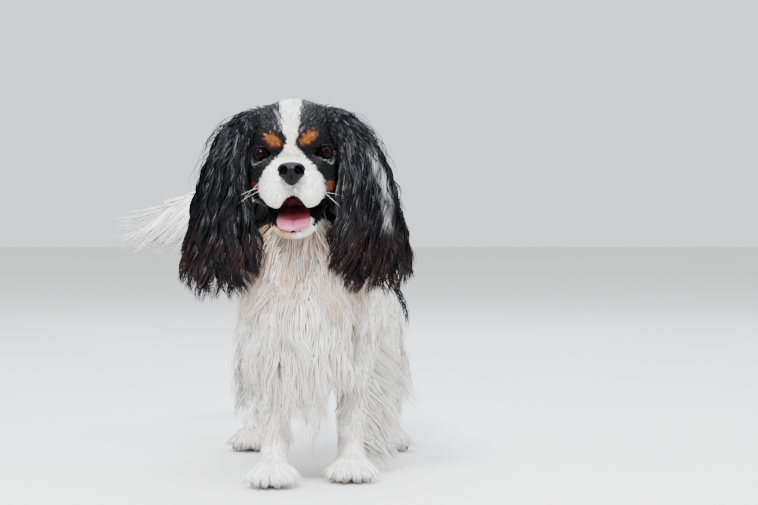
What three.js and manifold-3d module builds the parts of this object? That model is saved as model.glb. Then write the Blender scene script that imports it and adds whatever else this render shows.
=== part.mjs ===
// A life-size Cavalier King Charles spaniel that stands on four feet with its head up, its mouth a little
// open and its tail swung out to its right. Millimetres, +Z up. It faces -Y, and its left side is +X.
import * as THREE from 'three';
import { LoftGeometry } from 'three/addons/geometries/LoftGeometry.js';
import { mergeVertices } from 'three/addons/utils/BufferGeometryUtils.js';
import Module from 'manifold-3d';

const wasm = await Module();
wasm.setup();

const X_AXIS = new THREE.Vector3(1, 0, 0);
const Z_AXIS = new THREE.Vector3(0, 0, 1);
const GAP = 0.3;
const TOLERANCE = 0.14;

// Where the head sits: the point midway between the eyes, and how far the head rolls to the dog's right.
const HEAD_PLACE = new THREE.Vector3(-18.5, -62, 337.5);
const HEAD_ROLL = THREE.MathUtils.degToRad(-1.6);

const EYE_APART = 65;
const EYE_RADIUS = 11;
const EYE_SET = 9;
const GAZE_OUT = THREE.MathUtils.degToRad(12);

const COAT = {
  black: { color: 0x17141a, roughness: 0.55, metalness: 0 },
  white: { color: 0xece6de, roughness: 0.8, metalness: 0 },
};
const NOSE_LEATHER = { color: 0x1b1a1f, roughness: 0.4, metalness: 0 };
const TONGUE_FLESH = { color: 0xc9788f, roughness: 0.45, metalness: 0 };
const EYE_GLASS = { color: 0x24130c, roughness: 0.08, metalness: 0 };

// Solids

function solid(geometry) {
  const bare = new THREE.BufferGeometry();
  bare.setAttribute('position', geometry.attributes.position);
  bare.setIndex(geometry.index);
  const merged = mergeVertices(bare, 1e-4);
  return new wasm.Manifold(new wasm.Mesh({
    numProp: 3,
    vertProperties: merged.attributes.position.array,
    triVerts: new Uint32Array(merged.index.array),
  }));
}

function join(solids) {
  return wasm.Manifold.union(solids);
}

// The largest closed surface of a solid, without loose scraps and sealed hollows.
function largest(made) {
  return made.decompose().reduce((best, body) => (body.volume() > best.volume() ? body : best));
}

function geometryOf(made) {
  const mesh = made.getMesh();
  const geometry = new THREE.BufferGeometry();
  geometry.setAttribute('position', new THREE.BufferAttribute(mesh.vertProperties, 3));
  geometry.setIndex(new THREE.BufferAttribute(mesh.triVerts, 1));
  geometry.computeVertexNormals();
  return geometry;
}

// Forms

// One oval ring of a limb: its middle, the way that the limb runs there, and its half-sizes.
function ring(middle, along, across, wide, deep, sides, keel) {
  const a = across.clone().addScaledVector(along, -across.dot(along)).normalize();
  const b = new THREE.Vector3().crossVectors(along, a);
  return Array.from({ length: sides }, (_, i) => {
    const angle = (2 * Math.PI * i) / sides;
    const half = wide * (1 - keel * Math.sin(angle));
    return middle.clone()
      .addScaledVector(a, half * Math.cos(angle))
      .addScaledVector(b, deep * Math.sin(angle));
  });
}

function spineOf(stations) {
  return new THREE.CatmullRomCurve3(stations.map((s) => new THREE.Vector3(s[0], s[1], s[2])));
}

function girthOf(stations, grow) {
  return new THREE.CatmullRomCurve3(stations.map((s) => new THREE.Vector3(s[3] + grow, s[4] + grow, 0)));
}

// A limb runs through stations [x, y, z, half-width, half-depth] with a domed end at each side.
function limb(stations, options = {}) {
  const { sides = 12, rings = 10, across = X_AXIS, grow = 0, keel = 0, domes = 2, bulge = 0.6 } = options;
  const spine = spineOf(stations);
  const girth = girthOf(stations, grow);
  const sections = [];
  const dome = (t, sign) => {
    const along = spine.getTangent(t);
    const size = girth.getPoint(t);
    const reach = bulge * Math.min(size.x, size.y);
    const order = Array.from({ length: domes }, (_, k) => (k + 1) / domes);
    const caps = order.map((k) => {
      const lift = 0.46 * Math.PI * k;
      const middle = spine.getPoint(t).addScaledVector(along, sign * reach * Math.sin(lift));
      const shrink = Math.cos(lift);
      return ring(middle, along, across, size.x * shrink, size.y * shrink, sides, keel);
    });
    return sign < 0 ? caps.reverse() : caps;
  };
  sections.push(...dome(0, -1));
  for (let i = 0; i <= rings; i += 1) {
    const t = i / rings;
    const size = girth.getPoint(t);
    sections.push(ring(spine.getPoint(t), spine.getTangent(t), across, size.x, size.y, sides, keel));
  }
  sections.push(...dome(1, 1));
  return solid(new LoftGeometry(sections, { capStart: true, capEnd: true }));
}

function oval(at, size, around = 12, up = 8) {
  const geometry = new THREE.SphereGeometry(1, around, up);
  geometry.scale(...size);
  geometry.translate(...at);
  return solid(geometry);
}

// Distance from a point to an oval form, near enough for a blend.
function ovalDistance(p, form, side) {
  const d = [p.x - form.at[0] * side, p.y - form.at[1], p.z - form.at[2]];
  const k0 = Math.hypot(d[0] / form.size[0], d[1] / form.size[1], d[2] / form.size[2]);
  const k1 = Math.hypot(d[0] / form.size[0] ** 2, d[1] / form.size[1] ** 2, d[2] / form.size[2] ** 2);
  return (k0 * (k0 - 1)) / Math.max(k1, 1e-6);
}

// Rounded forms melted into one skin: each point of a ball moves out along its ray to the blended surface.
function melted(forms, centre, soft, options = {}) {
  const { around = 40, up = 28, grow = 0 } = options;
  const sided = forms.flatMap((form) => (form.at[0] ? [[form, 1], [form, -1]] : [[form, 1]]));
  const field = (p) => {
    const parts = sided.map(([form, side]) => Math.exp(-ovalDistance(p, form, side) / soft));
    return -soft * Math.log(parts.reduce((total, part) => total + part)) - grow;
  };
  const geometry = new THREE.SphereGeometry(1, around, up).rotateX(-Math.PI / 2);
  const place = geometry.attributes.position;
  const middle = new THREE.Vector3(...centre);
  for (let i = 0; i < place.count; i += 1) {
    const ray = new THREE.Vector3().fromBufferAttribute(place, i).normalize();
    let near = 0;
    let far = 130;
    for (let step = 0; step < 24; step += 1) {
      const half = (near + far) / 2;
      if (field(middle.clone().addScaledVector(ray, half)) < 0) near = half;
      else far = half;
    }
    place.setXYZ(i, ...middle.clone().addScaledVector(ray, near).toArray());
  }
  return solid(geometry);
}

// A spot in or on a limb: t runs along it, turn goes round it from its across side, and share is how far
// out from its middle the spot lies. It gives the place and the way straight out of the surface there.
function spot(stations, t, turn, share, across = X_AXIS) {
  const along = spineOf(stations).getTangent(t);
  const size = girthOf(stations, 0).getPoint(t);
  const a = across.clone().addScaledVector(along, -across.dot(along)).normalize();
  const b = new THREE.Vector3().crossVectors(along, a);
  return {
    at: spineOf(stations).getPoint(t)
      .addScaledVector(a, share * size.x * Math.cos(turn))
      .addScaledVector(b, share * size.y * Math.sin(turn)),
    out: a.multiplyScalar(Math.cos(turn) / size.x).addScaledVector(b, Math.sin(turn) / size.y).normalize(),
  };
}

// Seeded draws between two values, so that the same hair grows each time.
function draws(seed) {
  let state = seed;
  return (low, high) => {
    state = (state * 1664525 + 1013904223) % 4294967296;
    return low + (high - low) * (state / 4294967296);
  };
}

const LOCK_THICK = 4.4;

// How wide a lock is along its length, as a share of its widest: it leaves the skin narrow and ends in a tip.
const LOCK_TAPER = [[0, 0.6], [0.35, 1], [0.72, 0.76], [1, 0.07]];

// A flat lock of hair runs from its root to its tip, bows on the way, and waves a little from side to side.
// Its section is a low ridge: two edges, and a crest on the side that faces out.
function lock({ root, tip, bow, face, wide, thick = LOCK_THICK, wave = 0, phase = 0 }, grow = 0) {
  const path = new THREE.QuadraticBezierCurve3(root, root.clone().lerp(tip, 0.5).add(bow), tip);
  const sections = LOCK_TAPER.map(([t, share]) => {
    const along = path.getTangent(t);
    const side = new THREE.Vector3().crossVectors(along, face).normalize();
    const out = new THREE.Vector3().crossVectors(side, along);
    const middle = path.getPoint(t).addScaledVector(side, wave * t * Math.sin(phase + 7 * t));
    const half = wide * share + 2 * grow;
    const crest = thick * Math.sqrt(share) + 2 * grow;
    return [[half, -0.4 * crest], [-half, -0.4 * crest], [0, 0.6 * crest]].map(([across, up]) => (
      middle.clone().addScaledVector(side, across).addScaledVector(out, up)
    ));
  });
  return solid(new LoftGeometry(sections, { capStart: true, capEnd: true }));
}

const point = (x, y, z) => new THREE.Vector3(x, y, z);

// A row of locks on a limb: they start from one stretch of it, [from, to], and one stretch of turns round it,
// and fall by vectors [x, y, z] that blend from the row's first lock to its last. Their flat sides look along
// face, or straight out of the limb where the row gives none.
function fringe(stations, rows, seed, grow, across = X_AXIS) {
  const draw = draws(seed);
  return rows.flatMap(({ count, from, to, turns, falls, face, wide }) => {
    const fall = new THREE.CatmullRomCurve3(falls.map((f) => point(...f)));
    return Array.from({ length: count }, (_, i) => {
      const share = i / (count - 1);
      const turn = THREE.MathUtils.lerp(turns[0], turns[1], share) + draw(-0.08, 0.08);
      const { at, out } = spot(stations, THREE.MathUtils.lerp(from, to, share), turn, 0.78, across);
      const drop = fall.getPoint(share).multiplyScalar(draw(0.88, 1.1));
      return lock({
        root: at,
        tip: at.clone().add(drop),
        bow: out.clone().multiplyScalar(0.2 * drop.length()),
        face: face ? point(...face) : out,
        wide: wide * draw(0.85, 1.15),
        wave: draw(2, 4),
        phase: draw(0, 6),
      }, grow);
    });
  });
}

// Head, in its own frame: the origin is midway between the eyes.

const SKULL_FORMS = [
  { at: [0, 32, 15], size: [46, 43, 40] },
  { at: [20, 6, 17], size: [20, 18, 18] },
  { at: [29, 17, -3], size: [17, 15, 20] },
  { at: [30, 20, -22], size: [21, 30, 30] },
  { at: [22, -3, -16], size: [15, 16, 13] },
  { at: [0, -19, -17], size: [15, 29, 12] },
  { at: [16, -23, -37], size: [16.5, 22, 19] },
];
const NOSE_FORMS = [
  { at: [0, -44.5, -18], size: [12.5, 8.5, 8] },
  { at: [0, -45, -25], size: [8, 7, 7] },
];
const JAW = [
  [0, 26, -50, 31, 17],
  [0, 6, -62, 28, 14],
  [0, -13, -71, 25, 11.5],
  [0, -26, -77, 20, 9],
  [0, -36, -80, 13, 6.5],
];
const TONGUE = [
  [0, 9, -52, 11, 3.2],
  [0, -10, -58, 15, 3.6],
  [0, -27, -67, 16.5, 3.6],
  [0, -39, -73, 14.5, 3],
];
const MOUTH = [
  [0, -64, -66, 17, 18],
  [0, -42, -61, 16.5, 17],
  [0, -25, -57, 17, 12],
  [0, -8, -51, 15, 8],
  [0, 7, -47, 10, 6],
];

function eye(side, grow = 0) {
  const ball = new THREE.SphereGeometry(EYE_RADIUS + grow, 12, 8);
  ball.translate((side * EYE_APART) / 2, EYE_SET, 0);
  return solid(ball);
}

// A direction from the middle of an eye: turn is to the dog's left, and lift is up.
function gaze(side, turn, lift) {
  const yaw = side * GAZE_OUT + turn;
  return new THREE.Vector3(Math.sin(yaw) * Math.cos(lift), -Math.cos(yaw) * Math.cos(lift), Math.sin(lift));
}

// The rims of both lids are one closed roll round the almond opening.
function lids(side) {
  const middle = new THREE.Vector3((side * EYE_APART) / 2, EYE_SET, 0);
  const steps = 10;
  const turnHalf = 0.93;
  const liftHalf = 0.72;
  const roll = 1.7;
  const path = Array.from({ length: steps }, (_, i) => {
    const angle = (2 * Math.PI * i) / steps;
    const reach = gaze(side, turnHalf * Math.cos(angle), liftHalf * Math.sin(angle));
    return middle.clone().addScaledVector(reach, EYE_RADIUS + 0.9);
  });
  const curve = new THREE.CatmullRomCurve3(path, true);
  const sections = Array.from({ length: steps + 1 }, (_, i) => {
    const t = (i % steps) / steps;
    const rim = curve.getPoint(t);
    return ring(rim, curve.getTangent(t), rim.clone().sub(middle).normalize(), roll, roll, 4, 0);
  });
  return solid(new LoftGeometry(sections));
}

// The space in front of an eyeball, a short oval cone that opens outwards.
function orbit(side) {
  const middle = new THREE.Vector3((side * EYE_APART) / 2, EYE_SET, 0);
  const along = gaze(side, 0, 0);
  const sections = [[4, 8.6, 6.4], [EYE_RADIUS, 9.6, 7.4], [24, 14, 12]].map(([reach, wide, deep]) => (
    ring(middle.clone().addScaledVector(along, reach), along, X_AXIS, wide, deep, 10, 0)
  ));
  return solid(new LoftGeometry(sections, { capStart: true, capEnd: true }));
}

function nose(grow = 0) {
  const form = melted(NOSE_FORMS, [0, -45, -20], 2.5, { around: 14, up: 9, grow });
  if (grow) return form;
  const nostrils = [-1, 1].flatMap((side) => [
    oval([side * 6.6, -53, -19.5], [3.1, 5.5, 3.6], 7, 5),
    oval([side * 10.4, -51.5, -21.5], [3.4, 5, 1.5], 6, 4),
  ]);
  return form.subtract(join(nostrils));
}

function tongue(grow = 0) {
  return limb(TONGUE, { sides: 10, rings: 5, grow, bulge: 0.9 });
}

function headForm(grow = 0) {
  return melted(SKULL_FORMS, [0, 2, -12], 4, { around: 28, up: 22, grow });
}

function head() {
  return headForm()
    .subtract(join([orbit(-1), orbit(1)]))
    .add(join([lids(-1), lids(1)]))
    .subtract(join([eye(-1, GAP), eye(1, GAP), nose(GAP), tongue(GAP), mouth()]));
}

function mouth() {
  return limb(MOUTH, { sides: 12, rings: 5 });
}

function jawForm(grow = 0) {
  return limb(JAW, { sides: 14, rings: 6, grow, bulge: 0.8 });
}

function jaw() {
  return jawForm().subtract(join([headForm(GAP), tongue(GAP), mouth()]));
}

// Ears: each is a flap that folds over at its root, with a cup under the fold, and tiers of long locks. The
// flap's width runs outwards and back, so that its face looks outwards and ahead.

const EAR_FLAP = [
  [28, 22, 35, 15, 12],
  [45, 19, 33, 19, 12],
  [59, 15, 16, 22, 9],
  [65, 12, -4, 24, 5.5],
  [71, 10, -28, 25, 4.5],
  [76, 8, -48, 20, 3.8],
  [78, 7, -60, 11, 3],
];
const EAR_ACROSS = point(0.8, 0.6, 0);
const EAR_LOCK_THICK = 5.5;
const EAR_CUP = { at: [50, 25, 14], size: [8, 10, 14] };

// Each tier of locks starts at one height of the flap, on its face or its back, and ends on a curve of tips,
// whose points are [x, y, z] from the inner edge to the outer one.
const EAR_TIERS = [
  {
    count: 4, from: 0.12, face: 1, wide: 11,
    tips: [[58, -2, -14], [68, -12, -30], [80, -8, -36], [90, 8, -12]],
  },
  {
    count: 5, from: 0.42, face: 1, wide: 11.5,
    tips: [[50, 2, -70], [62, -12, -92], [86, -10, -92], [103, 8, -62]],
  },
  {
    count: 6, from: 0.74, face: 1, wide: 12,
    tips: [[38, 4, -104], [60, -6, -142], [92, -4, -142], [118, 12, -106]],
  },
  {
    count: 3, from: 0.56, face: -1, wide: 13,
    tips: [[50, 16, -96], [76, 28, -112], [106, 30, -84]],
  },
  {
    count: 3, from: 0.86, face: -1, wide: 13,
    tips: [[48, 8, -124], [64, 14, -148], [84, 18, -148], [108, 24, -126]],
  },
];

function earLocks(side, grow) {
  const flip = point(side, 1, 1);
  const draw = draws(31);
  return EAR_TIERS.flatMap(({ count, from, face, wide, tips }) => {
    const ends = new THREE.CatmullRomCurve3(tips.map((tip) => point(...tip)));
    return Array.from({ length: count }, (_, i) => {
      const share = i / (count - 1);
      const turn = face * Math.PI * (0.93 - 0.86 * share);
      const { at, out } = spot(EAR_FLAP, from + draw(-0.03, 0.03), turn, 0.8, EAR_ACROSS);
      const tip = ends.getPoint(share).add(point(draw(-2, 2), draw(-2, 2), draw(-5, 5)));
      return lock({
        root: at.multiply(flip),
        tip: tip.multiply(flip),
        bow: point(12 * share, -7 * face, 0).multiply(flip),
        face: out.clone().lerp(point(0.5 * face, -0.85 * face, 0), 0.7).multiply(flip),
        wide: wide * draw(0.85, 1.1),
        thick: EAR_LOCK_THICK,
        wave: draw(2, 4),
        phase: draw(0, 6),
      }, grow);
    });
  });
}

function ear(side, grow = 0) {
  const flap = limb(EAR_FLAP.map(([x, ...rest]) => [side * x, ...rest]), {
    sides: 12, rings: 9, grow, across: EAR_ACROSS.clone().multiply(point(side, 1, 1)),
  });
  const [x, ...rest] = EAR_CUP.at;
  const cup = oval([side * x, ...rest], EAR_CUP.size, 10, 7);
  return join([grow ? flap : flap.subtract(cup), ...earLocks(side, grow)]);
}

// Neck and trunk, in the dog's frame.

const NECK = [
  [-2, 44, 232, 58, 60],
  [-8, 20, 270, 50, 54],
  [-14, -2, 302, 43, 47],
  [-18, -8, 334, 36, 38],
];
const TRUNK = [
  [-4, -30, 224, 36, 40],
  [-3, -10, 222, 62, 66],
  [-1, 20, 221, 76, 78],
  [0, 62, 222, 79, 79],
  [0, 122, 227, 78, 71],
  [0, 182, 232, 71, 62],
  [0, 232, 233, 65, 57],
  [0, 266, 237, 48, 44],
];
const RUFF = [
  [-15, -28, 256, 36, 18],
  [-12, -36, 222, 47, 18],
  [-8, -36, 184, 44, 17],
  [-4, -30, 152, 28, 13],
];

// Rows of locks from the throat down the chest, and along both sides of the belly and its middle.
const RUFF_ROWS = [
  {
    count: 5, from: 0.04, to: 0.04, turns: [0.3, 2.84], wide: 11,
    falls: [[12, -4, -50], [0, -12, -58], [-12, -4, -50]],
  },
  {
    count: 6, from: 0.38, to: 0.38, turns: [0.1, 3.04], wide: 11,
    falls: [[16, 4, -54], [0, -8, -62], [-16, 4, -54]],
  },
  {
    count: 5, from: 0.7, to: 0.7, turns: [0.3, 2.84], wide: 11,
    falls: [[8, 2, -56], [0, -4, -72], [-8, 2, -56]],
  },
  {
    count: 4, from: 0.98, to: 0.98, turns: [0.2, 2.94], wide: 10,
    falls: [[6, 8, -68], [-2, 2, -88], [-8, 6, -68]],
  },
];
const BELLY_ROWS = [
  {
    count: 6, from: 0.3, to: 0.68, turns: [1.1, 1.2], wide: 16, face: [1, 0, 0.3],
    falls: [[16, 16, -78], [10, 18, -66], [3, 16, -50]],
  },
  {
    count: 6, from: 0.3, to: 0.68, turns: [2.04, 1.94], wide: 16, face: [1, 0, -0.3],
    falls: [[-8, 16, -78], [-6, 18, -66], [-3, 16, -50]],
  },
  {
    count: 3, from: 0.18, to: 0.4, turns: [1.57, 1.57], wide: 17,
    falls: [[0, 4, -84], [0, 8, -70]],
  },
];

function trunkForm(grow = 0) {
  return limb(TRUNK, { sides: 18, rings: 11, grow, keel: 0.1, bulge: 0.5 });
}

function neckForm(grow = 0) {
  return limb(NECK, { sides: 16, rings: 6, grow });
}

// Legs: each runs from the shoulder or hip down to the pastern, and stands on a paw of four toes.

const FORELEG = [
  [57, 34, 232, 24, 42],
  [57, 18, 192, 25, 37],
  [51, 16, 152, 21, 28],
  [45, 4, 112, 18, 20],
  [42, -4, 72, 16.5, 17],
  [42, -8, 40, 16, 17],
  [43, -16, 22, 18, 19],
];
const HIND_LEG = [
  [46, 212, 236, 28, 52],
  [58, 200, 192, 28, 48],
  [68, 204, 152, 24, 38],
  [76, 230, 108, 18, 25],
  [80, 258, 78, 13.5, 18],
  [81, 258, 46, 13, 15],
  [81, 250, 22, 16, 18],
];
const PAW_WIDE = 26;
const PAW_AHEAD = 13;
const SLIPPER_LOCK = { wide: 9, thick: 5, wave: 1 };
const FORE_STRIDE = { [-1]: { out: -3, ahead: -14 }, [1]: { out: -4, ahead: 22 } };

function paw(x, y, width) {
  const toes = [-1.5, -0.5, 0.5, 1.5].map((step) => {
    const ahead = Math.abs(step) > 1 ? -15 : -23;
    return oval([x + step * width * 0.48, y + ahead, 9.5], [width * 0.32, 15, 11], 6, 5);
  });
  return join([...toes, oval([x, y, 13], [width * 0.95, 27, 17], 10, 6)]);
}

// The hair of a slipper fans out over the toes, from one side of the paw to the other, and ends just off the
// floor.
function slipper(x, y, width, seed) {
  const draw = draws(seed);
  return [-1.3, -0.65, 0, 0.65, 1.3].map((turn) => {
    const way = point(Math.sin(turn), -Math.cos(turn), 0);
    const reach = width * draw(1.25, 1.4) + 8 * Math.cos(turn);
    return lock({
      root: point(x, y, 17).addScaledVector(way, width * 0.5),
      tip: point(x, y, draw(2.5, 5)).addScaledVector(way, reach),
      bow: point(0, 0, 7),
      face: point(0, 0, 1).addScaledVector(way, 0.6),
      phase: draw(0, 6),
      ...SLIPPER_LOCK,
    });
  });
}

// The feather behind each foreleg and the breeches behind each thigh, as rows of locks.
const FORE_ROWS = {
  [-1]: [
    {
      count: 5, from: 0.32, to: 0.84, turns: [4.4, 4.5], wide: 12, face: [1, 0.2, 0],
      falls: [[-10, 32, -50], [-8, 32, -42], [-6, 22, -20]],
    },
  ],
  [1]: [
    {
      count: 6, from: 0.3, to: 0.84, turns: [5.1, 4.9], wide: 12, face: [1, -0.6, 0.3],
      falls: [[34, 30, -52], [34, 30, -48], [14, 22, -22]],
    },
  ],
};
const HIND_ROWS = [
  {
    count: 6, from: 0.06, to: 0.74, turns: [4.7, 4.7], wide: 14, face: [1, 0, 0],
    falls: [[0, 34, -50], [4, 36, -52], [4, 16, -36]],
  },
  {
    count: 3, from: 0.24, to: 0.6, turns: [5.6, 5.4], wide: 12,
    falls: [[10, 18, -44], [10, 16, -38]],
  },
];

function foreStations(side) {
  const stride = FORE_STRIDE[side];
  return FORELEG.map(([x, y, z, wide, deep]) => {
    const share = THREE.MathUtils.clamp((200 - z) / 160, 0, 1);
    return [side * (x + stride.out * share), y + stride.ahead * share, z, wide, deep];
  });
}

function foreleg(side, grow = 0) {
  const stations = foreStations(side);
  const [x, y] = stations.at(-1);
  return join([limb(stations, { sides: 10, rings: 8, grow }), paw(x, y - PAW_AHEAD, PAW_WIDE + grow)]);
}

function hindStations(side) {
  return HIND_LEG.map(([x, ...rest]) => [side * x, ...rest]);
}

function hindLeg(side, grow = 0) {
  const stations = hindStations(side);
  const [x, y] = stations.at(-1);
  return join([limb(stations, { sides: 10, rings: 8, grow }), paw(x, y - PAW_AHEAD, PAW_WIDE + grow)]);
}

// The rows of a left leg, laid on the other side where side is -1.
function mirrored(rows, side) {
  return side > 0 ? rows : rows.map(({ turns, falls, ...rest }) => ({
    ...rest,
    turns: turns.map((turn) => Math.PI - turn),
    falls: falls.map(([x, ...others]) => [-x, ...others]),
  }));
}

// Tail: a tapered core with a plume of locks that hangs under it and past its tip.

const TAIL = [
  [0, 262, 274, 13, 13],
  [-30, 290, 288, 12, 12],
  [-80, 302, 297, 11, 11],
  [-135, 300, 297, 10, 10],
  [-185, 290, 287, 7, 7],
];
const PLUME_ROWS = [
  {
    count: 8, from: 0.1, to: 0.98, turns: [3.14, 3.3], wide: 14, face: [0, 1, 0],
    falls: [[-8, 6, -40], [-20, 4, -68], [-34, -4, -60], [-72, -14, -28]],
  },
  {
    count: 4, from: 0.3, to: 0.92, turns: [4.3, 4.3], wide: 13, face: [0, 1, 0],
    falls: [[-22, -8, -44], [-36, -8, -50], [-64, -14, -38]],
  },
  {
    count: 4, from: 0.24, to: 0.88, turns: [2, 2], wide: 13, face: [0, 1, 0],
    falls: [[-22, 8, -48], [-36, 8, -54], [-60, 0, -12]],
  },
];

function tail(grow = 0) {
  return join([
    limb(TAIL, { sides: 9, rings: 6, across: Z_AXIS, grow }),
    ...fringe(TAIL, PLUME_ROWS, 57, grow, Z_AXIS),
  ]);
}

// Assembly

const headFrame = new THREE.Group();
headFrame.position.copy(HEAD_PLACE);
headFrame.rotation.y = HEAD_ROLL;
headFrame.updateMatrix();

function inDogFrame(made) {
  return made.transform(headFrame.matrix.elements);
}

function mesh(name, made, finish) {
  const geometry = geometryOf(largest(made.simplify(TOLERANCE)));
  const node = new THREE.Mesh(geometry, new THREE.MeshStandardMaterial(finish));
  node.name = name;
  return node;
}

const SIDES = [['right', -1], ['left', 1]];
const skullAndJaw = join([headForm(GAP), jawForm(GAP)]);
const earsGrown = join(SIDES.map(([, side]) => ear(side, GAP)));

headFrame.add(
  mesh('head', head(), COAT.black),
  mesh('jaw', jaw(), COAT.white),
  mesh('tongue', tongue(), TONGUE_FLESH),
  mesh('nose', nose(), NOSE_LEATHER),
  ...SIDES.map(([word, side]) => mesh(`eye_${word}`, eye(side), EYE_GLASS)),
  ...SIDES.map(([word, side]) => mesh(`ear_${word}`, ear(side).subtract(skullAndJaw), COAT.black)),
);

const onHead = inDogFrame(join([skullAndJaw, earsGrown]));
const neck = neckForm().subtract(onHead);
const legsGrown = join(SIDES.flatMap(([, side]) => [foreleg(side, GAP), hindLeg(side, GAP)]));
const coatOnTrunk = (grow) => join([
  limb(RUFF, { sides: 14, rings: 5, grow }),
  ...fringe(RUFF, RUFF_ROWS, 11, grow),
  ...fringe(TRUNK, BELLY_ROWS, 23, grow),
]);
const trunk = trunkForm().add(coatOnTrunk(0).subtract(legsGrown)).subtract(join([onHead, neckForm(GAP)]));
const floor = solid(new THREE.BoxGeometry(2000, 2000, 400).translate(0, 0, -200));
const aroundLegs = join([trunkForm(GAP), floor]);
const trunkHairGrown = coatOnTrunk(GAP);

function standing(leg, stations, rows, seed) {
  const [x, y] = stations.at(-1);
  const feather = join([...fringe(stations, rows, seed, 0), ...slipper(x, y - PAW_AHEAD, PAW_WIDE, seed)]);
  return leg.add(feather.subtract(trunkHairGrown)).subtract(aroundLegs);
}

const dog = new THREE.Group();
dog.add(
  headFrame,
  mesh('neck', neck, COAT.white),
  mesh('trunk', trunk, COAT.white),
  mesh('tail', tail().subtract(trunkForm(GAP)), COAT.white),
  ...SIDES.map(([word, side]) => mesh(
    `foreleg_${word}`,
    standing(foreleg(side), foreStations(side), FORE_ROWS[side], 41),
    COAT.white,
  )),
  ...SIDES.map(([word, side]) => mesh(
    `hind_leg_${word}`,
    standing(hindLeg(side), hindStations(side), mirrored(HIND_ROWS, side), 47),
    COAT.white,
  )),
);

// The origin lies on the floor under the middle of the dog's box.
const box = new THREE.Box3().setFromObject(dog, true);
const middle = box.getCenter(new THREE.Vector3());
dog.position.set(-middle.x, -middle.y, -box.min.z);

const part = new THREE.Group();
part.add(dog);

export default part;
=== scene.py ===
"""A life-size Cavalier King Charles spaniel in its full coat, a still model for a museum case.

Every form is worked out in millimetres in the dog's own frame, the one of its solids: +Z is up, the
dog faces -Y and its left side is +X. A piece goes to metres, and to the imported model's place, as it
is made.
"""

import bpy
import numpy as np
import openvdb
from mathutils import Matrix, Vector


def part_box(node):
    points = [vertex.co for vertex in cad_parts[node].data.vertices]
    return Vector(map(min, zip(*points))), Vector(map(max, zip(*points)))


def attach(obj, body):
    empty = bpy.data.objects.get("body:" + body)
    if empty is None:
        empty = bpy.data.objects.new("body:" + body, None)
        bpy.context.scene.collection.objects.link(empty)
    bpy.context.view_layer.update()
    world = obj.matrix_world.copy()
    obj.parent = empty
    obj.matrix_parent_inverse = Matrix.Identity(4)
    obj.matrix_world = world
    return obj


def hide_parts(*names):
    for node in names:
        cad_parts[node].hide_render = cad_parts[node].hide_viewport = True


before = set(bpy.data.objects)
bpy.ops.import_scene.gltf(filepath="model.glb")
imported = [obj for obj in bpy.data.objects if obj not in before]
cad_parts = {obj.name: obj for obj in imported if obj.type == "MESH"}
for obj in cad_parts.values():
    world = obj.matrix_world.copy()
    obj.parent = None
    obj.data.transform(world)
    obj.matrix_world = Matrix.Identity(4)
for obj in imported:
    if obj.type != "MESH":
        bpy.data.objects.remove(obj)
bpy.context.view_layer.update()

X_AXIS = np.array([1.0, 0.0, 0.0])
Z_AXIS = np.array([0.0, 0.0, 1.0])
NO_THREES = np.zeros((0, 3), int)
# A distance that counts as far from a form [mm].
FAR = 60.0

# Where the head sits: the point midway between the eyes, and how far it rolls to the dog's right.
HEAD_PLACE = np.array([-18.5, -62.0, 337.5])
HEAD_ROLL = np.radians(-1.6)

# Eyes: how far apart they are, the ball's radius, how far behind the head's origin the ball's middle
# lies, how far it is drawn in towards the nose, and the angle by which the eye looks outwards.
EYE_APART = 65.0
EYE_RADIUS = 11.0
EYE_SET = 9.0
EYE_IN = 1.0
GAZE_OUT = np.radians(4)

# Head, in its own frame: the origin is midway between the eyes. A form is an oval's middle and its
# half-sizes, and one off the middle is there on both sides.
SKULL_FORMS = [
    ([0, 32, 15], [46, 43, 40]),
    ([20, 6, 17], [20, 18, 18]),
    ([29, 17, -3], [17, 15, 20]),
    ([30, 20, -22], [21, 30, 30]),
    ([22, -3, -16], [15, 16, 13]),
    ([0, -19, -17], [15, 29, 12]),
    ([16, -23, -37], [16.5, 22, 19]),
]
JAW = [
    [0, 26, -50, 31, 17],
    [0, 6, -62, 28, 14],
    [0, -13, -71, 25, 11.5],
    [0, -26, -77, 20, 9],
    [0, -36, -80, 13, 6.5],
]
MOUTH = [
    [0, -64, -66, 17, 18],
    [0, -42, -59, 16.5, 18],
    [0, -25, -56, 17, 13],
    [0, -8, -51, 15, 8],
    [0, 7, -47, 10, 6],
]
TONGUE = [
    [0, 9, -56, 11, 3.2],
    [0, -10, -60.5, 15, 3.6],
    [0, -26, -65.5, 16.5, 3.4],
    [0, -38, -69.5, 16, 3],
    [0, -46, -76, 13, 2.6],
]
EAR_FLAP = [
    [28, 22, 35, 15, 12],
    [45, 19, 33, 19, 12],
    [59, 15, 16, 22, 9],
    [65, 12, -4, 24, 5.5],
    [71, 10, -28, 25, 4.5],
    [76, 8, -48, 20, 3.8],
    [78, 7, -60, 11, 3],
]
EAR_ACROSS = np.array([0.8, 0.6, 0.0])

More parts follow.
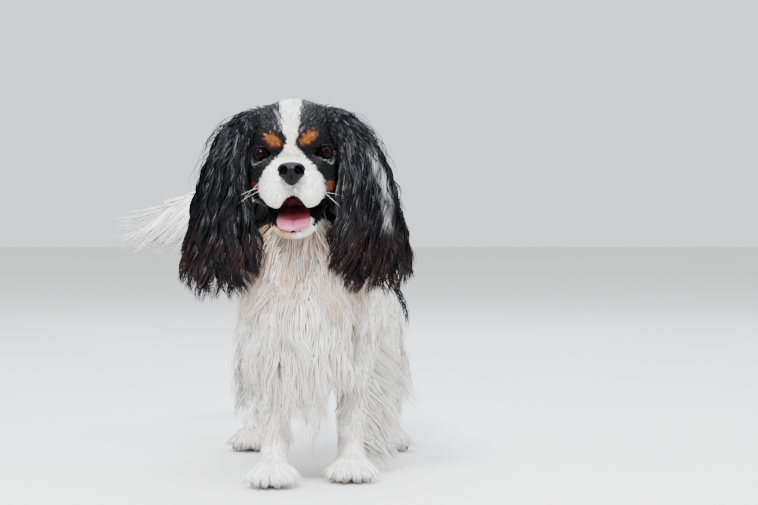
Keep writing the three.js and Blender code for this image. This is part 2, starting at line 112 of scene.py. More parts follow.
# Body, in the dog's frame: stations [x, y, z, half-width, half-depth].
NECK = [
    [-2, 44, 232, 58, 60],
    [-8, 20, 270, 50, 54],
    [-14, -2, 302, 43, 47],
    [-18, -8, 334, 36, 38],
]
TRUNK = [
    [-4, -30, 224, 36, 40],
    [-3, -10, 222, 62, 66],
    [-1, 20, 221, 76, 78],
    [0, 62, 222, 79, 79],
    [0, 122, 227, 78, 71],
    [0, 182, 232, 71, 62],
    [0, 232, 233, 65, 57],
    [0, 266, 237, 48, 44],
]
TRUNK_KEEL = 0.1
RUFF = [
    [-15, -28, 256, 36, 18],
    [-12, -36, 222, 47, 18],
    [-8, -36, 184, 44, 17],
    [-4, -30, 152, 28, 13],
]
FORELEG = [
    [57, 34, 232, 24, 42],
    [57, 18, 192, 25, 37],
    [51, 16, 152, 21, 28],
    [45, 4, 112, 18, 20],
    [42, -4, 72, 16.5, 17],
    [42, -8, 40, 16, 17],
    [43, -16, 22, 18, 19],
]
HIND_LEG = [
    [46, 212, 236, 28, 52],
    [58, 200, 192, 28, 48],
    [68, 204, 152, 24, 38],
    [76, 230, 108, 18, 25],
    [80, 258, 78, 13.5, 18],
    [81, 258, 46, 13, 15],
    [81, 250, 22, 16, 18],
]
TAIL = [
    [0, 262, 274, 13, 13],
    [-30, 290, 288, 12, 12],
    [-80, 302, 297, 11, 11],
    [-135, 300, 297, 10, 10],
    [-185, 290, 287, 7, 7],
]
# How far each forefoot stands out and back of its plain place, by the side.
FORE_STRIDE = {-1: (-3, -14), 1: (-4, 22)}
# Half the width of a paw, and how far its middle lies ahead of the end of its leg.
PAW_WIDE = 26.0
PAW_AHEAD = 13.0

# How deep the coat lies over the skin of each part.
COAT_DEPTH = {
    "trunk": 10.0,
    "neck": 9.0,
    "ruff": 7.0,
    "foreleg": 4.5,
    "hind_leg": 5.5,
    "paw": 4.0,
    "tail": 4.0,
    "head": 2.4,
    "jaw": 2.2,
    "ear": 0.8,
}


# Numbers and points


def unit(v):
    """Vectors of length one: each is divided by its own length."""
    return v / np.maximum(np.linalg.norm(v, axis=-1, keepdims=True), 1e-9)


def smooth(low, high, x):
    """0 below low, 1 above high and 3f^2 - 2f^3 between them. It falls where low is above high."""
    f = np.clip((x - low) / (high - low), 0, 1)
    return f * f * (3 - 2 * f)


def mix(a, b, share):
    return a + (b - a) * share


def soft_min(a, b, soft):
    """The lesser of two distances, rounded where they are within soft of each other."""
    h = np.clip(0.5 + 0.5 * (b - a) / soft, 0, 1)
    return b + (a - b) * h - soft * h * (1 - h)


def soft_max(a, b, soft):
    return -soft_min(-a, -b, soft)


def ripple(points, size, seed):
    """A soft pattern from -1 to 1: the mean of five sine waves about size long, each along its own
    direction."""
    rng = np.random.default_rng(seed)
    ways = unit(rng.normal(size=(5, 3)))
    lengths = size * rng.uniform(0.7, 1.4, 5)
    phases = rng.uniform(0, 2 * np.pi, 5)
    waves = np.sin(points @ (ways * (2 * np.pi / lengths)[:, None]).T + phases)
    return waves.mean(-1) * 1.6


def spline(knots, t):
    """A curve through knots, evenly by knot: each stretch is the cubic whose end slopes are half of
    the step between the neighbours on either side."""
    knots = np.asarray(knots, float)
    padded = np.vstack([2 * knots[0] - knots[1], knots, 2 * knots[-1] - knots[-2]])
    spans = len(knots) - 1
    place = np.clip(np.asarray(t, float) * spans, 0, spans - 1e-6)
    i = place.astype(int)
    f = (place - i)[..., None]
    p0, p1, p2, p3 = (padded[i + k] for k in range(4))
    return 0.5 * (
        2 * p1
        + (p2 - p0) * f
        + (2 * p0 - 5 * p1 + 4 * p2 - p3) * f**2
        + (3 * p1 - p0 - 3 * p2 + p3) * f**3
    )


def head_to_dog(points):
    """From the head's frame to the dog's: a turn by the roll about Y, then a shift to the head's
    place."""
    x, y, z = np.moveaxis(np.asarray(points, float), -1, 0)
    c, s = np.cos(HEAD_ROLL), np.sin(HEAD_ROLL)
    return np.stack([x * c + z * s, y, z * c - x * s], -1) + HEAD_PLACE


def dog_to_head(points):
    x, y, z = np.moveaxis(np.asarray(points, float) - HEAD_PLACE, -1, 0)
    c, s = np.cos(HEAD_ROLL), np.sin(HEAD_ROLL)
    return np.stack([x * c - z * s, y, x * s + z * c], -1)


def turn_to_dog(vectors):
    return head_to_dog(vectors) - HEAD_PLACE


def eye_middle(side):
    """The middle of an eyeball, a little nearer the nose than its plain ball in the solids."""
    return np.array([side * (EYE_APART / 2 - EYE_IN), EYE_SET, 0.0])


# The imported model's place: the left eye is at the middle of its node's box.
EYE_BOX = np.array(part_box("eye_left")) * 1000
ORIGIN = EYE_BOX.mean(0) - head_to_dog([EYE_APART / 2, EYE_SET, 0.0])


def mirrored(stations, side):
    return [[side * x, *rest] for x, *rest in stations]


def fore_stations(side):
    out, ahead = FORE_STRIDE[side]
    rows = []
    for x, y, z, wide, deep in FORELEG:
        share = np.clip((200 - z) / 160, 0, 1)
        rows.append([side * (x + out * share), y + ahead * share, z, wide, deep])
    return rows


def head_stations(stations, side=1):
    """Stations of the head's frame, carried to the dog's."""
    rows = np.array(mirrored(stations, side), float)
    rows[:, :3] = head_to_dog(rows[:, :3])
    return rows.tolist()


# Limbs: tubes with an oval section along a curve


class Limb:
    """A tube through stations, with the frame of each of its rings. The section's half-width lies
    along a, and its half-depth along b."""

    def __init__(self, stations, across=X_AXIS, samples=24, inset=0.0, keel=0.0, dome=0.6):
        self.stations = np.array(stations, float)
        self.across = across
        self.keel = keel
        self.dome = dome
        self.inset = inset
        self.t = np.linspace(0, 1, samples)
        self.centre, _, self.a, self.b, self.half = self.rings(self.t)

    def rings(self, t):
        """Middle, direction, a, b and half-sizes at t: a is the across vector made square to the
        direction."""
        rows = spline(self.stations, t)
        ahead = spline(self.stations, np.minimum(t + 0.01, 1))[..., :3]
        behind = spline(self.stations, np.maximum(t - 0.01, 0))[..., :3]
        along = unit(ahead - behind)
        a = unit(self.across - along * (along @ self.across)[..., None])
        return rows[..., :3], along, a, np.cross(along, a), rows[..., 3:5] - self.inset

    def spot(self, t, turn, share=1.0):
        """The point at t along and turn round the tube, and the way straight out of it there."""
        centre, _, a, b, half = self.rings(t)
        c, s = np.cos(turn)[..., None], np.sin(turn)[..., None]
        wide, deep = half[..., :1], half[..., 1:]
        out = unit(a * c / wide + b * s / deep)
        return centre + share * (a * wide * c + b * deep * s), out

    def nearest(self, points):
        """Signed distance of each point, and its t and turn: each stretch between two rings is an
        oval tube whose size runs evenly from one ring to the next, and the nearest stretch counts.
        For an oval with half-sizes r the distance is k(k - 1) / m, with k = |p / r| and m = |p /
        r^2|."""
        points = np.asarray(points, np.float32)
        best = np.full(len(points), np.inf, np.float32)
        found_t = np.zeros(len(points), np.float32)
        found_turn = np.zeros(len(points), np.float32)
        for i in range(len(self.t) - 1):
            step = self.centre[i + 1] - self.centre[i]
            length = np.linalg.norm(step)
            offset = points - self.centre[i].astype(np.float32)
            h = offset @ (step / length**2).astype(np.float32)
            h = np.clip(h, 0, 1)
            offset = offset - h[:, None] * step.astype(np.float32)
            u = offset @ self.a[i].astype(np.float32)
            v = offset @ self.b[i].astype(np.float32)
            s = offset @ (step / length).astype(np.float32)
            wide = mix(self.half[i, 0], self.half[i + 1, 0], h)
            deep = mix(self.half[i, 1], self.half[i + 1, 1], h)
            if self.keel:
                wide = wide * (1 - self.keel * np.clip(v / deep, -1, 1))
            cap = self.dome * np.minimum(wide, deep)
            k = np.sqrt((u / wide) ** 2 + (v / deep) ** 2 + (s / cap) ** 2)
            m = np.sqrt((u / wide**2) ** 2 + (v / deep**2) ** 2 + (s / cap**2) ** 2)
            distance = k * (k - 1) / np.maximum(m, 1e-5)
            nearer = distance < best
            best = np.where(nearer, distance, best)
            found_t = np.where(nearer, mix(self.t[i], self.t[i + 1], h), found_t)
            found_turn = np.where(nearer, np.arctan2(v / deep, u / wide), found_turn)
        return best, found_t, found_turn

    def distance(self, points):
        return self.nearest(points)[0]

    def reach(self):
        """The box that holds the tube."""
        size = self.half.max(1)[:, None]
        return (self.centre - size).min(0), (self.centre + size).max(0)


def oval_distance(points, at, size):
    """Distance from an oval, near enough for a blend: k(k - 1) / m, as for a limb's section."""
    offset = points - np.asarray(at, np.float32)
    size = np.asarray(size, np.float32)
    k = np.linalg.norm(offset / size, axis=-1)
    m = np.linalg.norm(offset / size**2, axis=-1)
    return k * (k - 1) / np.maximum(m, 1e-6)


def both_sides(forms):
    """Each form off the middle twice, on both sides, and each form on the middle once."""
    return [
        (np.array(at) * [side, 1, 1], size)
        for at, size in forms
        for side in ((1, -1) if at[0] else (1,))
    ]


def melted_distance(points, forms, soft):
    """Ovals melted together: minus soft times the log of the sum of e^(-distance / soft)."""
    total = 0
    for at, size in both_sides(forms):
        total = total + np.exp(-oval_distance(points, at, size) / soft)
    return -soft * np.log(total)


# The skin as a field of distances


def spaced(start, stretches):
    """Grid lines along one axis: each stretch (end, step) goes on from the one before it."""
    lines = [start]
    for end, step in stretches:
        count = max(1, round((end - lines[-1]) / step))
        lines.extend(np.linspace(lines[-1], end, count + 1)[1:])
    return np.array(lines, np.float32)


class Field:
    """Signed distances to a form on a grid whose lines are closer where the form is finer."""

    def __init__(self, *lines):
        self.lines = lines
        self.value = np.full([len(line) for line in lines], FAR, np.float32)

    def part(self, low, high):
        """The slices of the grid that hold a box, and their points."""
        cut = tuple(
            slice(*np.clip(np.searchsorted(line, [a, b]) + [-1, 1], 0, len(line)))
            for line, a, b in zip(self.lines, low, high)
        )
        mesh = np.meshgrid(*(line[c] for line, c in zip(self.lines, cut)), indexing="ij")
        return cut, np.stack(mesh, -1).reshape(-1, 3)

    def merge(self, distance, low, high, rule):
        cut, points = self.part(low, high)
        here = self.value[cut]
        self.value[cut] = rule(here, distance(points).reshape(here.shape).astype(np.float32))

    def add(self, distance, box, soft, margin=26.0):
        low, high = np.asarray(box[0]) - margin, np.asarray(box[1]) + margin
        self.merge(distance, low, high, lambda here, new: soft_min(here, new, soft))

    def carve(self, distance, box, soft, margin=6.0):
        low, high = np.asarray(box[0]) - margin, np.asarray(box[1]) + margin
        self.merge(distance, low, high, lambda here, new: soft_max(here, -new, soft))

    def at(self, points):
        """Distance at points, blended from the eight grid points round each."""
        shape = points.shape[:-1]
        flat = points.reshape(-1, 3)
        low, share = [], []
        for axis, line in enumerate(self.lines):
            place = np.interp(flat[:, axis], line, np.arange(len(line)))
            i = np.minimum(place.astype(int), len(line) - 2)
            low.append(i)
            share.append(place - i)
        total = 0
        for corner in np.ndindex(2, 2, 2):
            weight = 1
            for c, f in zip(corner, share):
                weight = weight * (f if c else 1 - f)
            total = total + weight * self.value[tuple(i + c for i, c in zip(low, corner))]
        return total.reshape(shape)

    def slope(self, points, step=1.5):
        """The way out of the form: the difference of the distances a step to either side on each
        axis."""
        ways = np.eye(3) * step
        return unit(np.stack([self.at(points + way) - self.at(points - way) for way in ways], -1))

    def surface(self, step=1.5):
        """Points and four-sided faces of the form's skin, where the distance is nought, with the
        faces' middles and areas. Faces that look inwards are turned round."""
        grid = openvdb.FloatGrid(FAR)
        grid.copyFromArray(np.ascontiguousarray(self.value))
        found, quads = grid.convertToQuads(0.0)
        place = [np.interp(found[:, i], np.arange(len(line)), line) for i, line in enumerate(self.lines)]
        points, quads = np.stack(place, -1), quads.astype(np.int64)
        corners = points[quads]
        cross = np.cross(corners[:, 2] - corners[:, 0], corners[:, 3] - corners[:, 1])
        middle, area = corners.mean(1), 0.5 * np.linalg.norm(cross, axis=-1)
        if (cross * self.slope(middle, step)).sum() < 0:
            quads = quads[:, ::-1]
        return points, quads, middle, area


def gaze_axes(side):
    """Unit vectors of an eye, in the head's frame: where it looks, to the dog's left, and up."""
    yaw = side * GAZE_OUT
    look = np.array([np.sin(yaw), -np.cos(yaw), 0.0])
    left = np.array([np.cos(yaw), np.sin(yaw), 0.0])
    return look, left, Z_AXIS


# The opening of the lids, seen from the eye's middle: half its angle to the side and up, and the
# power that shapes its outline. The cut for it ends at a ball of this radius [mm].
LID_TURN = 1.12
LID_LIFT = 0.8
LID_POWER = 1.7
LID_DEEP = 17.0


def lid_opening(points, side):
    """Distance from the space in front of an eye, which widens from its middle through the opening of
    the lids and ends at a ball a little larger than the eye. With u and w the angles off the gaze to
    the side and up, k = (|u / turn|^p + |w / lift|^p)^(1/p)."""
    look, left, up = gaze_axes(side)
    offset = points - eye_middle(side)
    ahead = offset @ look
    reach = np.linalg.norm(offset, axis=-1)
    u = np.arctan2(offset @ left, ahead)
    w = np.arctan2(offset @ up, np.maximum(ahead, 1e-3))
    k = (np.abs(u / LID_TURN) ** LID_POWER + np.abs(w / LID_LIFT) ** LID_POWER) ** (1 / LID_POWER)
    return np.where(ahead > 0, soft_max((k - 1) * LID_LIFT * reach, reach - LID_DEEP, 2.0), FAR)


def paw_forms(x, y, width):
    """Four toes and the middle of a paw, as ovals."""
    toes = [
        ([x + step * width * 0.48, y + (-15 if abs(step) > 1 else -23), 9.5], [width * 0.32, 15, 11])
        for step in (-1.5, -0.5, 0.5, 1.5)
    ]
    return toes + [([x, y, 13], [width * 0.95, 27, 17])]


LIMBS = {
    "trunk": Limb(TRUNK, inset=COAT_DEPTH["trunk"], keel=TRUNK_KEEL, dome=0.5),
    "neck": Limb(NECK, inset=COAT_DEPTH["neck"], samples=14),
    "ruff": Limb(RUFF, inset=COAT_DEPTH["ruff"], samples=12),
    "foreleg_right": Limb(fore_stations(-1), inset=COAT_DEPTH["foreleg"], samples=18),
    "foreleg_left": Limb(fore_stations(1), inset=COAT_DEPTH["foreleg"], samples=18),
    "hind_leg_right": Limb(mirrored(HIND_LEG, -1), inset=COAT_DEPTH["hind_leg"], samples=18),
    "hind_leg_left": Limb(mirrored(HIND_LEG, 1), inset=COAT_DEPTH["hind_leg"], samples=18),
    "tail": Limb(TAIL, across=Z_AXIS, inset=COAT_DEPTH["tail"], samples=16),
    "jaw": Limb(head_stations(JAW), inset=COAT_DEPTH["jaw"], samples=10, dome=0.8),
}
EARS = {
    side: Limb(
        head_stations(EAR_FLAP, side),
        across=turn_to_dog(EAR_ACROSS * [side, 1, 1]),
        inset=COAT_DEPTH["ear"],
        samples=16,
    )
    for side in (-1, 1)
}
EAR_NAMES = {-1: "ear_right", 1: "ear_left"}
TUBES = {**LIMBS, **{EAR_NAMES[side]: ear for side, ear in EARS.items()}}
LEGS = ("foreleg_right", "foreleg_left", "hind_leg_right", "hind_leg_left")
# How softly each part melts into the rest [mm]; a leg by LEG_BLEND.
LEG_BLEND = 14.0
BLENDS = {"neck": 26.0, "ruff": 22.0, "tail": 10.0, "jaw": 7.0}


def skull_distance(points):
    return melted_distance(dog_to_head(points).astype(np.float32), SKULL_FORMS, 4.0) + COAT_DEPTH["head"]


MOUTH_SPACE = Limb(MOUTH, samples=12)
MOUTH_FALL = 0.62


def mouth_distance(q):
    """Distance from the mouth's space, whose top falls away to both sides as MOUTH_FALL says."""
    x, y, z = np.asarray(q).T
    fall = MOUTH_FALL * np.abs(x) * smooth(-70, -52, z)
    return MOUTH_SPACE.distance(np.stack([x, y, z + fall], -1))


def head_carvings(points):
    """Distance from all that is cut out of the head: the mouth's space, and the space before each
    eye."""
    local = dog_to_head(points).astype(np.float32)
    return np.minimum.reduce([mouth_distance(local), lid_opening(local, 1), lid_opening(local, -1)])


# Heights off the floor: of the soles, of the short coat and of the long hair.
SOLE_HEIGHT = 1.2
COAT_HEIGHT = 0.4
TIP_HEIGHT = 1.0


def build_skin():
    """One skin for the whole dog: limbs melted together, with the mouth and the lids' openings cut in
    it and the soles cut flat a little above the floor."""
    field = Field(
        spaced(-200, [(-84, 3.6), (48, 1.5), (120, 3.6)]),
        spaced(-126, [(-10, 1.5), (44, 2.6), (322, 3.8)]),
        spaced(-4, [(248, 3.4), (402, 1.5)]),
    )
    for name in ("trunk", "neck", "ruff", *LEGS, "tail"):
        limb = LIMBS[name]
        field.add(limb.distance, limb.reach(), BLENDS.get(name, LEG_BLEND))
    for name in LEGS:
        x, y = LIMBS[name].stations[-1, :2]
        forms = paw_forms(x, y - PAW_AHEAD, PAW_WIDE)
        box = ([x - 44, y - 62, 0], [x + 44, y + 20, 40])
        field.add(lambda p, f=forms: paw_distance(p, f) + COAT_DEPTH["paw"], box, 6.0, margin=14.0)
    head_box = (HEAD_PLACE - [56, 56, 60], HEAD_PLACE + [56, 80, 60])
    field.add(skull_distance, head_box, 14.0, margin=10.0)
    field.add(LIMBS["jaw"].distance, LIMBS["jaw"].reach(), BLENDS["jaw"], margin=16.0)
    for side in (1, -1):
        middle = head_to_dog(eye_middle(side))
        ball = (middle - EYE_RADIUS, middle + EYE_RADIUS)
        lids = [EYE_RADIUS + 1.5] * 3
        field.add(lambda p, m=middle: oval_distance(p, m, lids), ball, 5.0, margin=10.0)
    field.carve(head_carvings, (HEAD_PLACE - [56, 64, 90], HEAD_PLACE + [56, 20, 20]), 1.5)
    for limb in EARS.values():
        field.add(limb.distance, limb.reach(), 3.0, margin=14.0)
    field.carve(lambda p: p[:, 2] - SOLE_HEIGHT, ([-130, -100, -4], [130, 320, 20]), 1.0)
    return field


def paw_distance(points, forms):
    """Ovals joined with a short blend, so that the toes stay apart."""
    total = FAR
    for at, size in forms:
        total = soft_min(total, oval_distance(points, at, size), 2.5)
    return total


# Markings


def linear(code):
    """A colour from its sRGB hex value, as the light that it reflects."""
    part = np.array([(code >> shift & 255) / 255 for shift in (16, 8, 0)])
    return np.where(part <= 0.04045, part / 12.92, ((part + 0.055) / 1.055) ** 2.4)


WHITE_HAIR = linear(0xFAF8F4)
# The hair's own cream tint, which is also the colour of the painted shade on the white hair.
CREAM_AND_SHADE_HAIR = linear(0xC6A480)
BLACK_HAIR = linear(0x07070A)
BROWN_BLACK_HAIR = linear(0x2A1614)
# Grey: the colour of grey hairs, and of the painted highlights on the black hair.
GREY_AND_HIGHLIGHT_HAIR = linear(0x9E9D9F)
TAN_HAIR = linear(0x7F4A20)
RUST_HAIR = linear(0x4E2315)
# The mouth's lining. The tongue also takes this colour as painted shade at its root and in its groove.
MOUTH_LINING_AND_SHADE = linear(0x4A1A20)
LIP_SKIN = linear(0x2A1A1D)
TONGUE_PINK = linear(0x8A3C58)

# The shade of the hair under the nose.
SHADED_HAIR = 0.45 * GREY_AND_HIGHLIGHT_HAIR

# The white of the face: half its width [mm] at heights over the eyes' line, and its middle. Then the
# tan spots over the eyes and on the cheeks, and the neck's middle line: heights, and y at each.
BLAZE_HEIGHTS = [-60, -45, -35, -25, -16, -9, -4.5, 1.5, 6.5, 12, 24, 34, 52]
BLAZE_HALF = [30, 31.5, 33.5, 31.5, 26.5, 19.5, 15, 10, 5.2, 3.8, 7.4, 10, 10.5]
BLAZE_MIDDLE = -1.5
BROW = {"at": (18.4, 14.8), "long": 10.5, "short": 6.2, "tilt": 0.55}
CHEEK_SPOT = ([37, 4, -33], [7, 14, 7])
NECK_AXIS = ([232, 270, 302, 334], [44, 20, -2, -8])


def face_white(q):
    """How far inside the white of the face a point of the head lies [mm]: half the blaze's width at
    its height less its distance from the middle. It ends on the crown, and on the muzzle's sides
    ahead of the cheeks."""
    x, y, z = q.T
    inside = np.interp(z, BLAZE_HEIGHTS, BLAZE_HALF) - np.abs(x - BLAZE_MIDDLE)
    crown = 60 - y - 0.4 * np.abs(x)
    cheek = mix(3 - y, 60 - y, smooth(0, 12, z))
    return np.minimum.reduce([inside, crown, cheek])


def chin_white(q):
    """White chin and throat, with dark lips and cheeks above."""
    x, y, z = q.T
    chin = np.minimum(15 - np.abs(x - 4), -14 - y)
    return np.maximum(chin, -71 + 0.15 * y - z)


def body_white(p):
    """White all over but for the nape, a saddle and the rump, whose edges wander by the ripple."""
    x, y, z = p.T
    wander = 11 * ripple(p, 75, 5)
    nape = np.minimum.reduce([y - np.interp(z, *NECK_AXIS) - 2, z - 266 + 0.5 * wander, 100 - y])
    below_ears = np.minimum.reduce([np.abs(x + 13) - 27, z - 262 + 0.3 * wander, 70 - y])
    nape = np.maximum(nape, below_ears)
    hem = z - mix(158, 192, smooth(60, 170, y)) + ripple(p, 60, 6) * 9
    saddle = np.minimum(52 - np.abs(y - 112) + wander + 22 * smooth(222, 252, z), hem)
    rump = np.minimum(33 - np.abs(y - 206) - wander, z - 186 - ripple(p, 60, 6) * 9)
    return -np.maximum.reduce([nape, saddle, rump])


def brow_share(q):
    """How much a point of the head belongs to the tan spots over the eyes: slanting ovals."""
    x, y, z = q.T
    middle_x, middle_z = BROW["at"]
    across, up = np.abs(x - BLAZE_MIDDLE) - middle_x, z - middle_z - 0.05 * x
    c, s = np.cos(BROW["tilt"]), np.sin(BROW["tilt"])
    long, short = (across * c + up * s) / BROW["long"], (up * c - across * s) / BROW["short"]
    return smooth(1.25, 0.35, np.hypot(long, short) + 0.25 * ripple(q, 4, 10)) * (y < 22)


def pale_hair(p, q, part):
    """White hair. It turns cream in drifts. On the throat under the jaw it takes cream with painted
    shade in it, and painted shade darkens it inside the forelegs, where they meet the chest, and on the
    dog's right side of the chin. It is shaded under the nose and specked with black by the lips."""
    drifts = 0.3 * smooth(-0.2, 1, ripple(p, 48, 4))
    # Under the jaw: a real cream tint with painted shade in it.
    throat = smooth(188, 256, p[:, 2]) * smooth(-25, 20, -p[:, 1])
    # Painted shade inside the forelegs, where they meet the chest.
    leg_gap_shade = np.char.startswith(part, "foreleg") * smooth(52, 38, np.abs(p[:, 0] + 3))
    leg_gap_shade = leg_gap_shade * smooth(50, 110, p[:, 2])
    cream_and_shade = np.where(part == "head", 0.05, drifts + 0.75 * throat + 0.5 * leg_gap_shade)
    # Painted shade on the dog's right side of the chin; the left side stays white.
    chin = mix(0.95, 0.1, smooth(-4, 8, q[:, 0]))
    cream_and_shade = np.where(part == "jaw", chin, np.minimum(cream_and_shade, 0.9))
    colour = mix(WHITE_HAIR, CREAM_AND_SHADE_HAIR, cream_and_shade[:, None])
    off_nose = np.linalg.norm((q - [0, -34, -34]) * [1, 1, 0.8], axis=-1)
    under_nose = smooth(17, 6, off_nose) * (part == "head")
    under_nose = 0.75 * under_nose * smooth(-0.6, 0.6, ripple(p, 3.5, 8))
    colour = mix(colour, SHADED_HAIR, under_nose[:, None])
    speck = (part == "jaw") * smooth(0.1, 0.4, ripple(p, 3, 12)) * smooth(7, 2.5, mouth_distance(q))
    return mix(colour, BLACK_HAIR, (0.8 * speck)[:, None])


def ear_sheen_streak(p, q):
    """A painted highlight down the front of the left ear, with some grey hair in it: a pale streak,
    broken up along its hairs.
    """
    x, _, z = q.T
    off_streak = np.abs(x - mix(80, 93, smooth(5, -60, z)) - 2.5 * ripple(p, 30, 15))
    streak = smooth(8, 2, off_streak) * smooth(-92, -62, z) * smooth(12, -8, z)
    return 0.8 * streak * smooth(-0.8, 0.4, ripple(p * [1, 1, 0.3], 7, 9))


def crown_grey(p, q, white):
    """Grey hairs that run beside the blaze on the crown, where the white ends."""
    hairs = smooth(-0.1, 0.6, ripple(p * [1, 0.3, 0.3], 3, 16))
    return 0.6 * smooth(9, 1, -white) * smooth(14, 30, q[:, 2]) * hairs


def lid_highlight(q):
    """A painted highlight: a thin pale line on the hair just below the lower lid of each eye."""
    x, _, z = q.T
    gap = np.minimum(lid_opening(q, 1), lid_opening(q, -1))
    off_middle = np.abs(np.abs(x) - EYE_APART / 2)
    line = smooth(1.1, 0.3, np.abs(gap - 1.8)) * smooth(-3, -7, z)
    return 0.45 * line * smooth(11, 6, off_middle)


def cheek_tan(q):
    """How much a point of the head belongs to the tan spots on the cheeks."""
    x, y, z = q.T
    spot = oval_distance(np.stack([np.abs(x - BLAZE_MIDDLE), y, z], -1), *CHEEK_SPOT)
    return smooth(2, -2, spot)


def dark_hair(p, q, part, white):
    """Black hair. It is brown at the ends of the ears, with grey hairs in it on the crown, a painted
    highlight down the left ear and another just below the lower lids, and tan over the eyes and on the
    cheeks, lighter on the left one."""
    on_head, on_ear = part == "head", np.char.startswith(part, "ear")
    brown = 0.6 * smooth(-40, -125, q[:, 2]) * smooth(-0.9, 0.8, ripple(p, 22, 7)) * on_ear
    colour = mix(BLACK_HAIR, BROWN_BLACK_HAIR, brown[:, None])
    # Grey hairs on the crown, and painted highlights down the left ear and just below the lower lids.
    greys_and_highlights = (ear_sheen_streak(p, q) * on_ear, crown_grey(p, q, white) * on_head, lid_highlight(q) * on_head)
    for share in greys_and_highlights:
        colour = mix(colour, GREY_AND_HIGHLIGHT_HAIR, share[:, None])
    brow = (brow_share(q) * on_head)[:, None]
    colour = mix(colour, mix(RUST_HAIR, TAN_HAIR, brow), smooth(0, 0.5, brow))
    cheek = cheek_tan(q) * (on_head | (part == "jaw"))
    cheek_colour = mix(RUST_HAIR, TAN_HAIR, (0.5 * (q[:, 0] > 0))[:, None])
    return mix(colour, cheek_colour, cheek[:, None])


def coat_colour(p, part, edge=1.6):
    """Colour of the coat at points of the skin: dark or pale hair by the markings, whose edges are
    rough and as soft as edge says [mm]. The ears are all dark and the belly all pale."""
    q = dog_to_head(p)
    rough = ripple(p, 5, 2) * 1.3 + ripple(p, 13, 3) * 1.2
    on_face = np.where(part == "jaw", chin_white(q), body_white(p))
    white = np.where(part == "head", face_white(q), on_face) + rough
    white = np.where(part == "belly", FAR, white)
    share = smooth(-edge, edge, white) * ~np.char.startswith(part, "ear")
    return mix(dark_hair(p, q, part, white), pale_hair(p, q, part), share[:, None])


def skin_colour(p, part):
    """The coat's colour, with the lips and the mouth's lining round the space of the mouth, and how
    wet the skin is."""
    q = dog_to_head(p)
    mouth = mouth_distance(q)
    near = (part == "head") | (part == "jaw") | (part == "neck")
    lip = smooth(2.6, 1.4, mouth) * near
    lining = smooth(0.9, 0.4, mouth) * near * smooth(-34, -24, q[:, 1])
    colour = mix(coat_colour(p, part), LIP_SKIN, lip[:, None])
    return mix(colour, MOUTH_LINING_AND_SHADE, lining[:, None]), lip


# Parts of the skin, and the lie of the coat


def part_names(points):
    """The name of the part of the body that lies nearest to each point."""
    names = [*LIMBS, "head", *EAR_NAMES.values()]
    rows = [
        skull_distance(points) if name == "head" else TUBES[name].distance(points) for name in names
    ]
    return np.array(names)[np.argmin(rows, 0)]


def unwrapped(points, part):
    """Where points lie on an unwrap of their part: how far round it, and how far along. The head's
    runs over a globe round its middle. Several parts lie side by side on the map."""
    uv = np.zeros((len(points), 2))
    names = np.unique(part)
    for place, name in enumerate(names):
        here = part == name
        if name == "head":
            x, y, z = (dog_to_head(points[here]) - [0, 4, -10]).T
            turn, t = np.arctan2(x, -y), np.arctan2(z, np.hypot(x, y)) / np.pi + 0.5
        else:
            _, t, turn = TUBES[name].nearest(points[here])
        uv[here] = np.stack([(turn / (2 * np.pi) + 0.5 + place) / len(names), t], -1)
    return inside_map(uv)


def inside_map(uv):
    """Places on the map, kept off its edges so that a strand's patch fits beside them."""
    return 0.004 + 0.99 * uv


def head_lie(points):
    """Hair of the head runs away from the nose, parts from the blaze above the eyes, and falls
    behind."""
    q = dog_to_head(points)
    x, y, z = q.T
    way = unit(q - [BLAZE_MIDDLE, -52, -10])
    parting = 0.5 * np.clip((x - BLAZE_MIDDLE) / 14, -1, 1) * smooth(8, 40, z)
    way[:, 0] += parting * smooth(60, 20, z - y)
    way[:, 2] -= 1.1 * smooth(0, 55, y) + 1.7 * smooth(-48, -60, z)
    return turn_to_dog(way)


def body_lie(points, part):
    """Hair of the trunk runs back and down its sides, and straight down the chest. A leg's runs down,
    its paw's ahead over the toes, and the tail's along it."""
    x, y, z = points.T
    side = np.clip(x / 60, -1, 1)
    chest = smooth(10, -30, y)
    way = np.stack([0.25 * side, 1 - 1.3 * chest, -0.35 - 0.75 * np.abs(side) - 1.2 * chest], -1)
    on_neck = np.isin(part, ("neck", "ruff"))
    neck_way = np.stack([0.35 * side, 0.1 + 0.5 * smooth(-10, 40, y), -np.ones(len(x))], -1)
    way = np.where(on_neck[:, None], neck_way, way)
    on_leg = np.isin(part, LEGS)
    over_toes = smooth(34, 16, z)
    leg_way = np.stack([0 * x, 0.25 - 1.3 * over_toes, -1 + 0.55 * over_toes], -1)
    way = np.where(on_leg[:, None], leg_way, way)
    along = LIMBS["tail"].rings(LIMBS["tail"].nearest(points)[1])[1]
    way = np.where((part == "tail")[:, None], along + [0, 0, -0.25], way)
    on_ear = np.char.startswith(part, "ear")
    ear_way = np.stack([0.3 * np.sign(x - HEAD_PLACE[0]), 0 * x, -np.ones(len(x))], -1)
    return np.where(on_ear[:, None], ear_way, way)


def coat_lie(points, part):
    on_head = np.isin(part, ("head", "jaw"))
    return np.where(on_head[:, None], head_lie(points), body_lie(points, part))


# Hair: every tuft or lock is a closed, three-sided strand that tapers to a tip

# The width of a strand along it, as a share of its full width. A section's crest and edges stand off
# the strand's middle by shares of its thickness, which is STRAND_THICK of its half-width.
STRAND_TAPER = ([0, 0.3, 0.7, 1], [0.6, 1, 0.8, 0])
STRAND_THICK = 0.9
CREST_OUT = 0.65
EDGES_IN = 0.35
# The side of a strand's patch on the map.
PATCH = 0.003
# How soft the markings' edges are from strand to strand [mm].
HAIR_EDGE = 0.4


